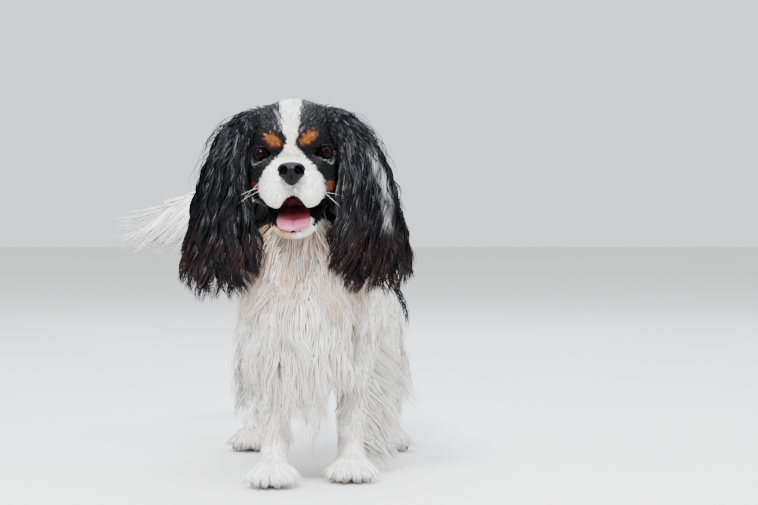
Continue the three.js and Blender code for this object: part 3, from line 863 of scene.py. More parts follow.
def strands(paths, outs, half, colours, uv, bulge=0.0):
    """Strands along paths (count, rings, 3). A ring has two edges, half its width to each side, and a
    crest that faces out. Sections are joined by fours, the last one by threes to the tip, and the
    root is closed. Each point also holds the way that its lock faces there, for the light on it: out
    plus the bulge."""
    count, rings = paths.shape[:2]
    along = unit(np.gradient(paths, axis=1))
    side = unit(np.cross(along, outs))
    out = np.cross(side, along)
    share = np.interp(np.linspace(0, 1, rings), *STRAND_TAPER)
    wide = side * half[:, None, None] * share[None, :, None]
    thick = STRAND_THICK * out * half[:, None, None] * np.sqrt(share)[None, :, None]
    edges = [paths + wide - EDGES_IN * thick, paths - wide - EDGES_IN * thick]
    corners = [*edges, paths + CREST_OUT * thick]
    ringed = np.stack(corners, 2)[:, :-1].reshape(count, -1, 3)
    facing = unit(out + bulge)
    facing = np.concatenate([np.repeat(facing[:, :-1], 3, 1), facing[:, -1:]], 1)
    vertices = np.concatenate([ringed, paths[:, -1:]], 1)
    steps = 3 * (rings - 1)
    base = (np.arange(count) * (steps + 1))[:, None, None]
    j, c = np.arange(rings - 2)[:, None] * 3, np.arange(3)[None]
    n = (c + 1) % 3
    quads = np.stack([j + c, j + n, j + 3 + n, j + 3 + c], -1).reshape(-1, 4)
    last = steps - 3
    tip = [[last, last + 1, steps], [last + 1, last + 2, steps], [last + 2, last, steps]]
    threes = np.array([*tip, [0, 2, 1]])
    tint = np.concatenate([np.repeat(colours[:, :-1], 3, 1), colours[:, -1:]], 1)
    down = np.repeat(np.linspace(0, 1, rings)[:-1], 3)
    shift = np.stack([np.tile([0, 1, 0.5], rings - 1), down], -1)
    shift = np.vstack([shift, [0.5, 1]]) * PATCH
    return {
        "vertices": vertices.reshape(-1, 3),
        "quads": (base + quads).reshape(-1, 4),
        "threes": (base + threes).reshape(-1, 3),
        "coat": tint.reshape(-1, 3),
        "facing": facing.reshape(-1, 3),
        "uv": np.repeat(uv, steps + 1, 0),
        "patch": np.tile(shift, (count, 1)),
    }


def nearest_of(points, guides):
    """For each point the guide that is nearest to it, a chunk of points at a time."""
    owner = np.zeros(len(points), int)
    chunk = 4000
    for start in range(0, len(points), chunk):
        here = points[start : start + chunk]
        gap = (guides**2).sum(-1)[None] - 2 * here @ guides.T
        owner[start : start + chunk] = gap.argmin(1)
    return owner


def lock_guides(paths, size, rng):
    """For each strand the one that leads its lock: the nearest of the guides, with about size strands
    to each. Strands are compared at a point between root and tip, nearer the root."""
    count = len(paths)
    guides = rng.choice(count, max(1, count // size), replace=False)
    places = paths[:, 0] * 0.7 + paths[:, -1] * 0.3
    return guides[nearest_of(places, places[guides])]


def gathered(paths, leader, pull, rng, swell=0.8):
    """Strands drawn together in locks: towards the tip each one nears the strand that leads it. Also
    how far each point leans out of the middle of its lock, so that a lock shines as one round
    bundle."""
    count, rings = paths.shape[:2]
    share = pull * smooth(0.05, 1, np.linspace(0, 1, rings))[None, :, None]
    guide = paths[leader]
    lean = paths - guide
    typical = np.median(np.linalg.norm(lean, axis=-1)) + 1e-6
    lean = lean / np.maximum(np.linalg.norm(lean, axis=-1, keepdims=True), 1.6 * typical)
    return mix(paths, guide, share * rng.uniform(0.75, 1.05, (count, 1, 1))), swell * lean


def waved(paths, outs, size, period, phase):
    """Strands that wave: a sine of the arc length to the side, and half its cosine outwards."""
    along = unit(np.gradient(paths, axis=1))
    side = unit(np.cross(along, outs))
    arc = np.cumsum(np.linalg.norm(np.diff(paths, axis=1, prepend=paths[:, :1]), axis=-1), 1)
    turn = 2 * np.pi * arc / period + phase[:, None]
    size = size * smooth(0, 0.8, np.linspace(0, 1, paths.shape[1]))[None]
    sideways = (size * np.sin(turn))[..., None] * side
    return paths + sideways + (0.5 * size * np.cos(turn))[..., None] * outs


def kept_out(paths, clearance):
    """Strands pushed out of the skin: each point but the root lies at least its clearance over it."""
    gap = field.at(paths)
    need = np.maximum(clearance - gap, 0) * (gap < 20)
    need[:, 0] = 0
    return paths + field.slope(paths) * need[..., None]


def shaded(colours, rings, rng, spread=0.07, tip=0.04):
    """Colours along each strand: its own shade, darker at the root where little light comes in."""
    shade = 1 + spread * rng.normal(size=(len(colours), 1, 1)).clip(-2, 2)
    along = mix(0.9, 1 + tip, np.linspace(0, 1, rings) ** 0.6)[None, :, None]
    return np.clip(colours[:, None] * shade * along, 0, 1)


def combed(roots, outs, ways, length, lift, rings):
    """Tufts that lie along the skin: each step follows the lie, then is set at its height over the
    skin, which grows as the 0.6th power of the way to the tip."""
    out = outs
    place = roots
    way = unit(ways - out * (ways * out).sum(-1, keepdims=True))
    paths, faces = [roots - out * 0.6], [out]
    step = (length / (rings - 1))[:, None]
    for i in range(1, rings):
        place = place + way * step
        out = field.slope(place)
        height = lift * (i / (rings - 1)) ** 0.6
        place = place + out * (height - field.at(place))[:, None]
        way = unit(way - out * (way * out).sum(-1, keepdims=True))
        paths.append(place)
        faces.append(out)
    return np.stack(paths, 1), np.stack(faces, 1)


class Skin:
    """The skin's points and faces, the part that each face is on, and its middle and area."""

    def __init__(self):
        self.points, self.quads, self.middle, self.area = field.surface()
        self.part = part_names(self.middle)

    def roots(self, parts, count, weight, rng):
        """Places for tufts, spread by area times weight over the faces of some parts."""
        here = np.flatnonzero(np.isin(self.part, parts))
        chance = self.area[here] * weight(self.middle[here])
        face = here[rng.choice(len(here), count, p=chance / chance.sum())]
        a, b = rng.uniform(size=(2, count, 1))
        p0, p1, p2, p3 = (self.points[self.quads[face, i]] for i in range(4))
        place = mix(mix(p0, p1, a), mix(p3, p2, a), b)
        return place, self.part[face]


# How far the nose and the tongue sit off the head's middle, to the dog's left.
NOSE_SHIFT = np.array([0.2, 0, 0])


def bare(points):
    """Where no hair grows, as 0: the lips and the mouth, the lids' rims and the nose's seat."""
    q = dog_to_head(points)
    mouth = smooth(1.6, 3.0, mouth_distance(q))
    eyes = np.minimum(*(smooth(1.2, 2.4, lid_opening(q, side)) for side in (1, -1)))
    nose = smooth(-1.5, 0.5, oval_distance(q - NOSE_SHIFT, [0, -45, -19], [12.5, 9, 9.5]))
    return mouth * eyes * nose


def out_of_mouth(paths):
    """Which strands keep out of the mouth all along."""
    flat = dog_to_head(paths.reshape(-1, 3))
    return (mouth_distance(flat) > 1.5).reshape(paths.shape[:2]).all(1)


def at_points(measure, points):
    """A measure at points: a number, the same at all of them, or a function of the place."""
    return measure(points) if callable(measure) else np.full(len(points), float(measure))


def by_height(below, above, low, high):
    """A measure that goes from one value, below a height, to another, above a second height."""
    return lambda points: mix(below, above, smooth(low, high, points[:, 2]))


def short_coat(parts, count, rings, length, lift, half, weight, seed, lock_size=7, pull=0.5,
               wave=None, lean=0.6):
    """The coat that lies on some parts of the skin, as strands. Their length, their tips' height over
    the skin, their half-width and how thickly they grow are measures as at_points takes them. A wave
    is its size and its period."""
    rng = np.random.default_rng(seed)
    roots, part = skin.roots(parts, count, lambda p: at_points(weight, p) * bare(p), rng)
    ways = unit(coat_lie(roots, part)) + rng.normal(scale=0.13, size=(count, 3))
    lengths = at_points(length, roots) * rng.uniform(0.75, 1.2, count)
    lifts = at_points(lift, roots) * rng.uniform(0.7, 1.15, count)
    paths, faces = combed(roots, field.slope(roots), ways, lengths, lifts, rings)
    if wave:
        paths = waved(paths, faces, *wave, 2.5 * ripple(roots, 30, seed))
    paths, bulge = gathered(paths, lock_guides(paths, lock_size, rng), pull, rng)
    paths[..., 2] = np.maximum(paths[..., 2], COAT_HEIGHT)
    colours = shaded(coat_colour(paths[:, 1:].mean(1), part, edge=HAIR_EDGE), rings, rng)
    widths = at_points(half, roots) * rng.uniform(0.8, 1.2, count)
    clear = out_of_mouth(paths) | np.isin(part, ("head", "jaw"))
    uv = unwrapped(roots, part)
    return strands(
        paths[clear], faces[clear], widths[clear], colours[clear], uv[clear], bulge[clear] * lean
    )


# Long hair: beds of strands that fall from one stretch of a limb


def table_at(table, rows_t, t, across):
    """A table of vectors, a row for each height of a bed and evenly spaced columns across it, read
    between its entries by straight mixing."""
    table = np.array(table, float)
    row = np.interp(t, rows_t, np.arange(len(rows_t)))
    column = across * (table.shape[1] - 1)
    i = np.minimum(row.astype(int), table.shape[0] - 2)
    j = np.minimum(column.astype(int), table.shape[1] - 2)
    f, g = (row - i)[:, None], (column - j)[:, None]
    upper = mix(table[i, j], table[i, j + 1], g)
    lower = mix(table[i + 1, j], table[i + 1, j + 1], g)
    return mix(upper, lower, f)


def falling(roots, outs, fall, uv, part, rng, half=0.75, rings=8, wave=(2.0, 26.0), lock_size=16,
            pull=0.8, bow=0.2, clear=3.0, face=None, along_colour=False, swell=0.35, loose=0.5):
    """Long strands from roots to roots plus fall, on curves of the second degree that bow outwards.
    They are waved, gathered in locks and kept out of the skin."""
    count = len(roots)
    s = np.linspace(0, 1, rings)
    length = np.linalg.norm(fall, axis=-1, keepdims=True)
    middle = roots + fall / 2 + outs * bow * length
    r = s[None, :, None]
    paths = (1 - r) ** 2 * roots[:, None] + 2 * r * (1 - r) * middle[:, None]
    paths = paths + r**2 * (roots + fall)[:, None]
    look = outs if face is None else unit(mix(outs, np.asarray(face, float), 0.6))
    faces = np.repeat(look[:, None], rings, 1)
    leader = lock_guides(paths, lock_size, rng)
    phase = rng.uniform(0, 2 * np.pi, count)[leader] + rng.normal(scale=loose, size=count)
    size, period = wave
    paths = waved(paths, faces, size * rng.uniform(0.6, 1.2, (count, 1))[leader], period, phase)
    paths, bulge = gathered(paths, leader, pull, rng, swell)
    layer = rng.uniform(0, 0.8, (count, 1))[leader] + rng.uniform(0, 0.3, (count, 1))
    layer = clear * layer * s[None] ** 0.5
    paths = kept_out(kept_out(paths, layer), layer)
    paths[..., 2] = np.maximum(paths[..., 2], TIP_HEIGHT)
    if along_colour:
        flat = paths.reshape(-1, 3)
        colours = coat_colour(flat, np.full(len(flat), part), edge=HAIR_EDGE)
        shade = rng.normal(size=(count, 1, 1)).clip(-2, 2)
        shade = 1 + 0.22 * shade[leader] + 0.1 * shade
        colours = np.clip(colours.reshape(count, rings, 3) * shade, 0, 1)
    else:
        colours = shaded(coat_colour(roots, np.full(count, part), edge=HAIR_EDGE), rings, rng)
    widths = half * rng.uniform(0.7, 1.25, count)
    clear = out_of_mouth(paths)
    return strands(paths[clear], faces[clear], widths[clear], colours[clear], uv[clear], bulge[clear])


def hair_bed(limb, part, turns, rows_t, falls, count, seed, ends=False, spread=(0.8, 1.12),
             span=None, only=None, stray=0.0, **form):
    """Long hair of one bed: its roots are spread over a stretch of t and of turns, and each strand
    falls by the table's vector there, or to the table's point where it gives ends. Whole wisps stray
    from that by a soft pattern. Roots deep inside the skin or by the mouth are left out."""
    rng = np.random.default_rng(seed)
    low, high = span or (rows_t[0], rows_t[-1])
    t = rng.uniform(low, high, 3 * count)
    across = rng.uniform(0, 1, 3 * count)
    roots, outs = limb.spot(t, mix(*turns, across), 0.96)
    good = (field.at(roots) > -9) & (mouth_distance(dog_to_head(roots)) > 7)
    if only is not None:
        good &= only(dog_to_head(roots))
    good = np.flatnonzero(good)[:count]
    t, across, roots, outs, count = t[good], across[good], roots[good], outs[good], len(good)
    fall = table_at(falls, rows_t, t, across) - (roots if ends else 0)
    fall = fall * rng.uniform(*spread, (count, 1)) + rng.normal(scale=2.2, size=(count, 3))
    wisps = [(1, 30), (0.6, 34), (0.6, 26)]
    drift = [size * ripple(roots, period, seed + i) for i, (size, period) in enumerate(wisps)]
    fall = fall + stray * np.stack(drift, -1)
    uv = inside_map(np.stack([across, (t - low) / (high - low)], -1))
    return falling(roots, outs, fall, uv, part, rng, **form)


# Tables of the long hair: a row for each height of a bed, from its top, and a column for each place
# across it. The first three hold where the tips end up, in the head's frame on the left side. The
# others hold how far a strand falls, from its root to its tip.
EAR_ENDS = [
    [[60, -2, -34], [70, -12, -62], [88, -8, -62], [103, 8, -30]],
    [[36, 2, -86], [60, -12, -112], [94, -10, -112], [114, 8, -80]],
    [[28, 4, -114], [54, -6, -148], [96, -4, -149], [123, 12, -128]],
]
EAR_BACK_ENDS = [
    [[52, 12, -104], [76, 24, -118], [108, 28, -92]],
    [[48, 4, -130], [66, 8, -148], [108, 18, -132]],
]
WISP_ENDS = [
    [[58, 4, 30], [76, 10, 36], [88, 18, 16]],
    [[66, -6, -30], [92, 4, -24], [108, 14, -50]],
]
THROAT_FALLS = [
    [[10, -6, -46], [0, -14, -50], [-10, -6, -46]],
    [[8, -8, -40], [0, -12, -44], [-8, -8, -40]],
    [[6, -6, -30], [0, -8, -34], [-6, -6, -30]],
]
RUFF_FALLS = [
    [[14, -4, -50], [0, -12, -58], [-14, -4, -50]],
    [[16, 4, -54], [0, -8, -62], [-16, 4, -54]],
    [[16, 2, -50], [4, -8, -88], [-12, 2, -60]],
    [[18, 8, -60], [8, 0, -114], [-10, 6, -84]],
]
BELLY_FALLS = [
    [[14, 14, -70], [0, 6, -78], [-8, 14, -70]],
    [[8, 18, -62], [0, 10, -62], [-6, 18, -62]],
    [[3, 16, -46], [0, 12, -40], [-3, 16, -46]],
]
FORE_FALLS = {
    -1: [
        [[-4, 30, -50], [-12, 34, -50]],
        [[-4, 30, -42], [-10, 34, -42]],
        [[-2, 20, -20], [-6, 24, -20]],
    ],
    1: [
        [[26, 36, -60], [54, 20, -52]],
        [[26, 36, -54], [50, 22, -56]],
        [[14, 26, -30], [24, 18, -30]],
    ],
}
HIND_FALLS = [
    [[-4, 34, -54], [14, 24, -54]],
    [[0, 38, -56], [18, 22, -52]],
    [[2, 18, -38], [10, 12, -34]],
]
PLUME_FALLS = [
    [[-16, 8, -40], [-12, 4, -44], [-16, -8, -42]],
    [[-38, 8, -50], [-34, 2, -72], [-32, -8, -62]],
    [[-58, 4, -34], [-52, -4, -72], [-46, -10, -64]],
    [[-64, -2, -12], [-76, -8, -36], [-60, -12, -54]],
]


def ear_hair(side):
    """The front of an ear falls in long waved locks to the edge of its fan, and its back in a shorter
    bed. Wisps stand off the fold at its top, over a short coat."""
    ear, name = EARS[side], EAR_NAMES[side]
    front = (side * 0.95 * np.pi, side * 0.05 * np.pi)
    back = (-front[0], -front[1])
    ends, back_ends, wisp_ends = (
        head_to_dog(np.array(table, float) * [side, 1, 1])
        for table in (EAR_ENDS, EAR_BACK_ENDS, WISP_ENDS)
    )
    form = dict(part=name, ends=True, face=turn_to_dog([0.3 * side, -1.0, 0.1]))
    locks = dict(form, along_colour=True, swell=0.9)

    def off_the_face(q):
        return np.abs(q[:, 0]) > mix(43, 52, smooth(-30, 10, q[:, 2]))

    return [
        hair_bed(ear, turns=front, rows_t=[0.2, 0.45, 0.76], falls=ends, span=(0.24, 0.98),
                 count=1160, seed=101 + side, rings=20, wave=(4.4, 43.0), lock_size=13, bow=0.1,
                 half=0.82, clear=8.0, spread=(0.92, 1.02), pull=0.62, loose=0.25,
                 only=off_the_face, **locks),
        hair_bed(ear, turns=back, rows_t=[0.56, 0.86], falls=back_ends, span=(0.2, 0.98),
                 count=480, seed=111 + side, rings=13, wave=(4.0, 42.0), lock_size=14, bow=0.05,
                 half=0.9, spread=(0.9, 1.02), loose=0.3, **locks),
        hair_bed(ear, turns=front, rows_t=[0.1, 0.45], falls=wisp_ends, count=60, seed=115 + side,
                 rings=9, wave=(2.0, 30.0), bow=0.4, clear=6.0, pull=0.3, half=0.35,
                 spread=(0.5, 1.05), only=off_the_face, **form),
        short_coat([name], count=800, rings=4, length=14, lift=2.2, half=0.6,
                   weight=lambda p: smooth(300, 345, p[:, 2]) + 0.02, seed=119 + side, pull=0.4),
    ]


def chest_hair():
    """Broad wavy locks of the chest, and the throat's shorter bed above them."""
    return [
        hair_bed(LIMBS["ruff"], "ruff", turns=(0.1, 3.04), rows_t=[0.04, 0.38, 0.7, 0.98],
                 falls=RUFF_FALLS, count=2750, seed=121, rings=9, wave=(4.2, 62.0), lock_size=34,
                 pull=0.7, half=0.45, spread=(0.75, 1.4), stray=18.0, loose=0.3),
        hair_bed(LIMBS["neck"], "neck", turns=(-0.3, -2.84), rows_t=[0.3, 0.65, 1.0],
                 falls=THROAT_FALLS, count=1250, seed=123, rings=6, wave=(1.2, 46.0), lock_size=16,
                 pull=0.4, half=0.45, stray=7.0, only=lambda q: q[:, 2] < -66),
    ]


def belly_hair():
    """The fringe under the belly."""
    return [
        hair_bed(LIMBS["trunk"], "belly", turns=(1.0, 2.14), rows_t=[0.26, 0.46, 0.7],
                 falls=BELLY_FALLS, count=1200, seed=131, rings=7, wave=(2.4, 50.0), pull=0.55,
                 half=0.6, stray=10.0),
    ]


def leg_hair(name):
    """A leg's own coat, the feather or the breeches behind it, and the slipper that fans out over its
    toes."""
    side = 1 if name.endswith("left") else -1
    seed = 141 + LEGS.index(name)
    coat = short_coat([name], count=2150, rings=4, length=by_height(9, 17, 30, 120),
                      lift=by_height(2.0, 6.0, 24, 90), half=by_height(0.42, 0.6, 20, 90),
                      weight=by_height(1.6, 0.8, 30, 120), seed=seed, pull=0.25)
    bed = dict(count=800, seed=seed + 10, pull=0.6)
    if name.startswith("fore"):
        turns = (4.2, 5.2) if side > 0 else (5.2, 4.2)
        behind = hair_bed(LIMBS[name], name, turns, rows_t=[0.32, 0.6, 0.84], rings=9,
                          falls=FORE_FALLS[side], face=[0.5 * side, -0.8, 0], half=0.5,
                          wave=(3.0, 46.0), spread=(0.6, 1.35), bow=0.3, stray=16.0, loose=0.35,
                          **bed)
    else:
        turns = (4.2, 6.2) if side > 0 else (np.pi - 4.2, np.pi - 6.2)
        behind = hair_bed(LIMBS[name], name, turns, rows_t=[0.06, 0.4, 0.74], rings=8,
                          falls=np.array(HIND_FALLS, float) * [side, 1, 1], half=0.55,
                          face=[side, -0.3, 0], wave=(2.6, 48.0), spread=(0.7, 1.3), stray=12.0,
                          **bed)
    return [coat, behind, slipper_hair(name, seed + 20)]


def slipper_hair(name, seed, count=620):
    """Hair that springs from the top of a paw and runs out and down over the toes, its tips just off
    the floor."""
    rng = np.random.default_rng(seed)
    x, y = LIMBS[name].stations[-1, :2]
    middle = np.array([x, y - PAW_AHEAD, 13.0])
    size = np.array([PAW_WIDE * 0.95 - 4, 23.0, 13.0])
    turn = rng.normal(scale=0.75, size=count).clip(-1.35, 1.35)
    way = np.stack([np.sin(turn), -np.cos(turn), 0 * turn], -1)
    share = rng.uniform(0.3, 0.95, count)
    roots = middle + way * share[:, None] * size
    roots[:, 2] += size[2] * np.sqrt(1 - share**2) * 0.9
    outs = unit((roots - [x, y - PAW_AHEAD, 8.0]) / size**2)
    reach = PAW_WIDE * rng.uniform(0.95, 1.35, count) + 12 * np.cos(turn)
    tips = middle + way * reach[:, None]
    tips[:, 2] = rng.uniform(1.5, 5, count)
    fall = (tips - roots) * rng.uniform(0.5, 1.0, (count, 1))
    uv = 0.5 + 0.45 * share[:, None] * np.stack([np.sin(turn), np.cos(turn)], -1)
    return falling(roots, outs, fall, uv, name, rng, half=0.6, rings=6, wave=(0.6, 40.0),
                   lock_size=14, bow=0.24, clear=2.0, pull=0.4)


def tail_hair():
    """The tail's own coat, and the plume that hangs from it."""
    return [
        short_coat(["tail"], count=900, rings=5, length=30, lift=5, half=0.8, weight=1, seed=161),
        hair_bed(LIMBS["tail"], "tail", turns=(1.6, 4.7), rows_t=[0.1, 0.4, 0.7, 0.98],
                 falls=PLUME_FALLS, count=3300, seed=163, rings=7, wave=(1.8, 60.0),
                 face=[0, -1, 0], pull=0.4, half=0.7, stray=7.0),
    ]


# Surfaces of the face


def lattice(points, wrap=True, closed=True):
    """Faces over a grid of points, row by row. Columns join up where it wraps, and each end row is
    closed by a fan to its own mean."""
    rows, columns = points.shape[:2]
    index = np.arange(rows * columns).reshape(rows, columns)
    right = np.roll(index, -1, 1) if wrap else index[:, 1:]
    left = index if wrap else index[:, :-1]
    quads = np.stack([left[:-1], right[:-1], right[1:], left[1:]], -1).reshape(-1, 4)
    vertices = points.reshape(-1, 3)
    threes = NO_THREES
    if closed:
        vertices = np.vstack([vertices, points[0].mean(0), points[-1].mean(0)])
        first, last = rows * columns, rows * columns + 1
        fan = np.roll(index, -1, 1)
        threes = np.vstack([
            np.stack([fan[0], index[0], np.full(columns, first)], -1),
            np.stack([index[-1], fan[-1], np.full(columns, last)], -1),
        ])
    return {"vertices": vertices, "quads": quads, "threes": threes}


def roll(path, radii, sides=10, ring=False):
    """A round tube along a path, open where it is a ring that closes on itself."""
    path = np.asarray(path, float)
    along = np.roll(path, -1, 0) - np.roll(path, 1, 0) if ring else np.gradient(path, axis=0)
    along = unit(along)
    helper = unit(path - path.mean(0)) if ring else np.tile([0.13, 0.21, 0.97], (len(path), 1))
    a = unit(np.cross(along, helper))
    b = np.cross(along, a)
    angle = np.linspace(0, 2 * np.pi, sides, endpoint=False)
    radii = np.broadcast_to(radii, len(path))[:, None, None]
    way = np.cos(angle)[:, None] * a[:, None] + np.sin(angle)[:, None] * b[:, None]
    points = path[:, None] + radii * way
    if ring:
        points = np.concatenate([points, points[:1]])
    return lattice(points, closed=not ring)


def in_dog_frame(shape):
    return {**shape, "vertices": head_to_dog(shape["vertices"])}


def outwards(side, turn, lift):
    """The way from the middle of an eye at angles off its gaze, to the dog's left and up."""
    look, left, up = gaze_axes(side)
    turn, lift = (angle[..., None] for angle in np.broadcast_arrays(turn, lift))
    level = np.cos(turn) * look + np.sin(turn) * left
    return np.cos(lift) * level + np.sin(lift) * up


# How far the cornea rises over the ball [mm], and how wide it is [radians off the gaze].
CORNEA_RISE = 0.9
CORNEA_WIDE = 0.62


def eyeball(side):
    """A ball whose pole is where the eye looks. The cornea rises over it as e^(-(angle / width)^2).
    Its map holds the turn round the gaze and the angle off it."""
    off = np.linspace(0.02, np.pi * 0.98, 48)[:, None]
    around = np.linspace(0, 2 * np.pi, 48, endpoint=False)[None]
    look, left, up = gaze_axes(side)
    level = np.cos(around)[..., None] * left + np.sin(around)[..., None] * up
    way = np.cos(off)[..., None] * look + np.sin(off)[..., None] * level
    reach = EYE_RADIUS - 0.4 + CORNEA_RISE * np.exp(-((off / CORNEA_WIDE) ** 2))
    shape = lattice(eye_middle(side) + way * reach[..., None])
    off_grid = np.broadcast_to(off, way.shape[:2]).ravel() / np.pi
    around_grid = np.broadcast_to(around, way.shape[:2]).ravel() / (2 * np.pi)
    shape["uv"] = np.vstack([np.stack([around_grid, off_grid], -1), [0.5, 0], [0.5, 1]])
    return in_dog_frame(shape)


def lid_path(side, reach, widen, angle):
    """The rim of the lids' opening, on a ball of some reach round the eye."""
    c, s = np.cos(angle), np.sin(angle)
    grow = (np.abs(c) ** LID_POWER + np.abs(s) ** LID_POWER) ** (-1 / LID_POWER)
    way = outwards(side, widen * LID_TURN * c * grow, widen * LID_LIFT * s * grow)
    return eye_middle(side) + way * reach


def lid_rims(side):
    """The bare rims of both lids, thicker below."""
    angle = np.linspace(0, 2 * np.pi, 64, endpoint=False)
    path = lid_path(side, EYE_RADIUS + 0.6, 1.05, angle)
    return in_dog_frame(roll(path, 0.95 + 0.2 * smooth(0.2, -1, np.sin(angle)), ring=True))


def wet_line(side):
    """The moist edge of the lower lid, along the front of its rim, with its shine painted on it in pale
    blue-grey. It thins to both ends.
    """
    count = 30
    path = lid_path(side, EYE_RADIUS + 1.8, 1.09, np.linspace(np.pi * 1.06, np.pi * 1.94, count))
    return in_dog_frame(roll(path, 0.52 * np.sin(np.linspace(0.3, np.pi - 0.3, count)), sides=8))


NOSE_FORMS = [
    ([0, -44.5, -17.5], [12, 8.5, 8]),
    ([0, -45.5, -25.5], [7.5, 7, 7]),
    ([8.2, -45.5, -18.5], [5.4, 7.4, 6.4]),
]
NOSTRILS = [
    ([7.3, -51.5, -17.6], [3.7, 7.5, 4.3]),
    ([12.0, -48.5, -19.6], [3.6, 7.0, 1.5]),
]


def nose_distance(q):
    """Melted ovals, with the nostrils and their side slits cut in and a fine groove down the
    middle."""
    q = q - NOSE_SHIFT
    form = melted_distance(q, NOSE_FORMS, 1.6)
    holes = FAR
    for at, size in both_sides(NOSTRILS):
        holes = soft_min(holes, oval_distance(q, at, size), 1.4)
    groove = oval_distance(q, [0, -54.5, -27.5], [0.8, 3.4, 8.5])
    return soft_max(soft_max(form, -holes, 1.2), -groove, 1.2)


def nose_leather():
    """The skin of the nose, from its own fine grid."""
    lines = [spaced(low, [(high, 0.5)]) for low, high in ((-17, 14), (-57, -33), (-36, -6))]
    grid = Field(*lines)
    grid.merge(nose_distance, [-99] * 3, [99] * 3, lambda here, new: new)
    points, quads, _, _ = grid.surface(0.6)
    return in_dog_frame({"vertices": points, "quads": quads, "threes": NO_THREES})


def tongue_shape():
    """The tongue runs through its stations. Its section is an oval whose edges curl up by the square
    of the way out from the middle, with a groove of Gauss's form along the middle of its top. Painted
    shade darkens it at its root, back in the mouth, and along the groove."""
    s = np.linspace(0, 1, 44)[:, None]
    rows = spline(TONGUE, s[:, 0])
    end = np.sqrt(np.clip(1 - smooth(0.8, 1.0, s) ** 2 * 0.93, 0, 1))
    angle = np.linspace(0, 2 * np.pi, 40, endpoint=False)[None]
    wide, deep = rows[:, 3:4] * end, rows[:, 4:5] * mix(1, 0.55, s)
    across = np.cos(angle)
    x = wide * across + NOSE_SHIFT[0]
    curl = 2.6 * across**2 * mix(1, -0.7, s)
    groove = 1.5 * np.exp(-((across / 0.16) ** 2)) * (np.sin(angle) > 0) * smooth(0.85, 0.5, s)
    z = rows[:, 2:3] + deep * np.sin(angle) * np.sqrt(end) + curl - groove
    y = rows[:, 1:2] + 0 * angle
    shape = lattice(np.stack([x, y, z], -1))
    # Painted shade: the groove and the root, back in the mouth, are darkened towards the lining's
    # colour.
    groove_shade = 0.5 * np.exp(-((across / 0.1) ** 2)) * smooth(0.95, 0.8, s)
    inside = np.clip(smooth(0.82, 0.58, s + 0.16 * across**2) + groove_shade, 0, 1)[..., None]
    top = mix(TONGUE_PINK, MOUTH_LINING_AND_SHADE, inside).reshape(-1, 3)
    # The root's end cap is painted in shade, and the tip's end cap is pink.
    shape["coat"] = np.vstack([top, MOUTH_LINING_AND_SHADE, TONGUE_PINK])
    return in_dog_frame(shape)


def whiskers():
    """Long stiff hairs: from both sides of the muzzle, out and back, and a few from the brows and the
    chin. Each sags by the square of the way along it."""
    rng = np.random.default_rng(181)
    rows = []
    for side in (-1, 1):
        for _ in range(3):
            x = side * rng.uniform(24, 31) + BLAZE_MIDDLE
            root = [x, rng.uniform(-26, -10), rng.uniform(-42, -22)]
            way = [side * rng.uniform(0.75, 1), rng.uniform(-0.3, 0.3), rng.uniform(-0.75, 0.35)]
            rows.append((root, way, rng.uniform(22, 34)))
        for _ in range(4):
            root = [side * rng.uniform(10, 24), rng.uniform(-30, -16), rng.uniform(-74, -66)]
            rows.append((root, [side * 0.5, -0.2, -0.8], rng.uniform(10, 18)))
        for _ in range(3):
            root = [side * rng.uniform(17, 25), -6, rng.uniform(15, 20)]
            rows.append((root, [side * 0.35, -0.8, 0.5], 12))
    roots, ways, lengths = (np.array(column, float) for column in zip(*rows))
    rings = 8
    s = np.linspace(0, 1, rings)[None, :, None]
    paths = roots[:, None] + unit(ways)[:, None] * lengths[:, None, None] * s
    paths = paths + s**2 * lengths[:, None, None] * np.array([0, 0.1, -0.22])
    faces = np.tile([0.0, -1.0, 0.1], (len(roots), rings, 1))
    colours = np.tile(WHITE_HAIR, (len(roots), rings, 1))
    uv = rng.uniform(0.05, 0.95, (len(roots), 2))
    return [strands(head_to_dog(paths), faces, np.full(len(roots), 0.1), colours, uv)]


def claws(name):
    """A claw at the end of each toe: a tube that thins as the square root of what is left of its
    length, and curves down."""
    x, y = LIMBS[name].stations[-1, :2]
    toes = paw_forms(x, y - PAW_AHEAD, PAW_WIDE)[:4]
    s = np.linspace(0, 1, 10)[:, None]
    shapes = []
    for (toe_x, toe_y, toe_z), (_, deep, _) in toes:
        start = np.array([toe_x, toe_y - deep + 6.5, toe_z - 2.5])
        path = start + s * [0.08 * (toe_x - x), -6.0, 0] + s**2 * [0, 0, -3.6]
        shapes.append(roll(path, 1.7 * np.sqrt(1.02 - s[:, 0]), sides=10))
    return shapes


# Materials


def set_sockets(tree, node, sockets):
    """Gives each named socket of a node a number or colour, or a link from another's output."""
    for key, value in sockets.items():
        if isinstance(value, bpy.types.NodeSocket):
            tree.links.new(value, node.inputs[key])
        else:
            node.inputs[key].default_value = value


def add_node(tree, kind, sockets=None, **settings):
    """Adds a node, sets it up and fills its sockets."""
    made = tree.nodes.new(kind)
    for key, value in settings.items():
        setattr(made, key, value)
    set_sockets(tree, made, sockets or {})
    return made


def attribute(tree, name, output):
    """What the points of a piece hold under a name."""
    return add_node(tree, "ShaderNodeAttribute", attribute_name=name).outputs[output]


def vector_maths(tree, operation, a, b):
    """Arithmetic on two vectors, or on a vector and the number that scales it."""
    sockets = {0: a, "Scale" if operation == "SCALE" else 1: b}
    return add_node(tree, "ShaderNodeVectorMath", sockets, operation=operation).outputs[0]


def pattern(tree, kind, output, **sockets):
    """Noise, or a net of cells, over a piece. Its scale is per metre."""
    place = add_node(tree, "ShaderNodeTexCoord").outputs["Object"]
    return add_node(tree, kind, {"Vector": place, **sockets}).outputs[output]


def ranged(tree, value, low, high):
    """A value from 0 to 1 spread over another range."""
    sockets = {"Value": value, "To Min": low, "To Max": high}
    return add_node(tree, "ShaderNodeMapRange", sockets).outputs[0]


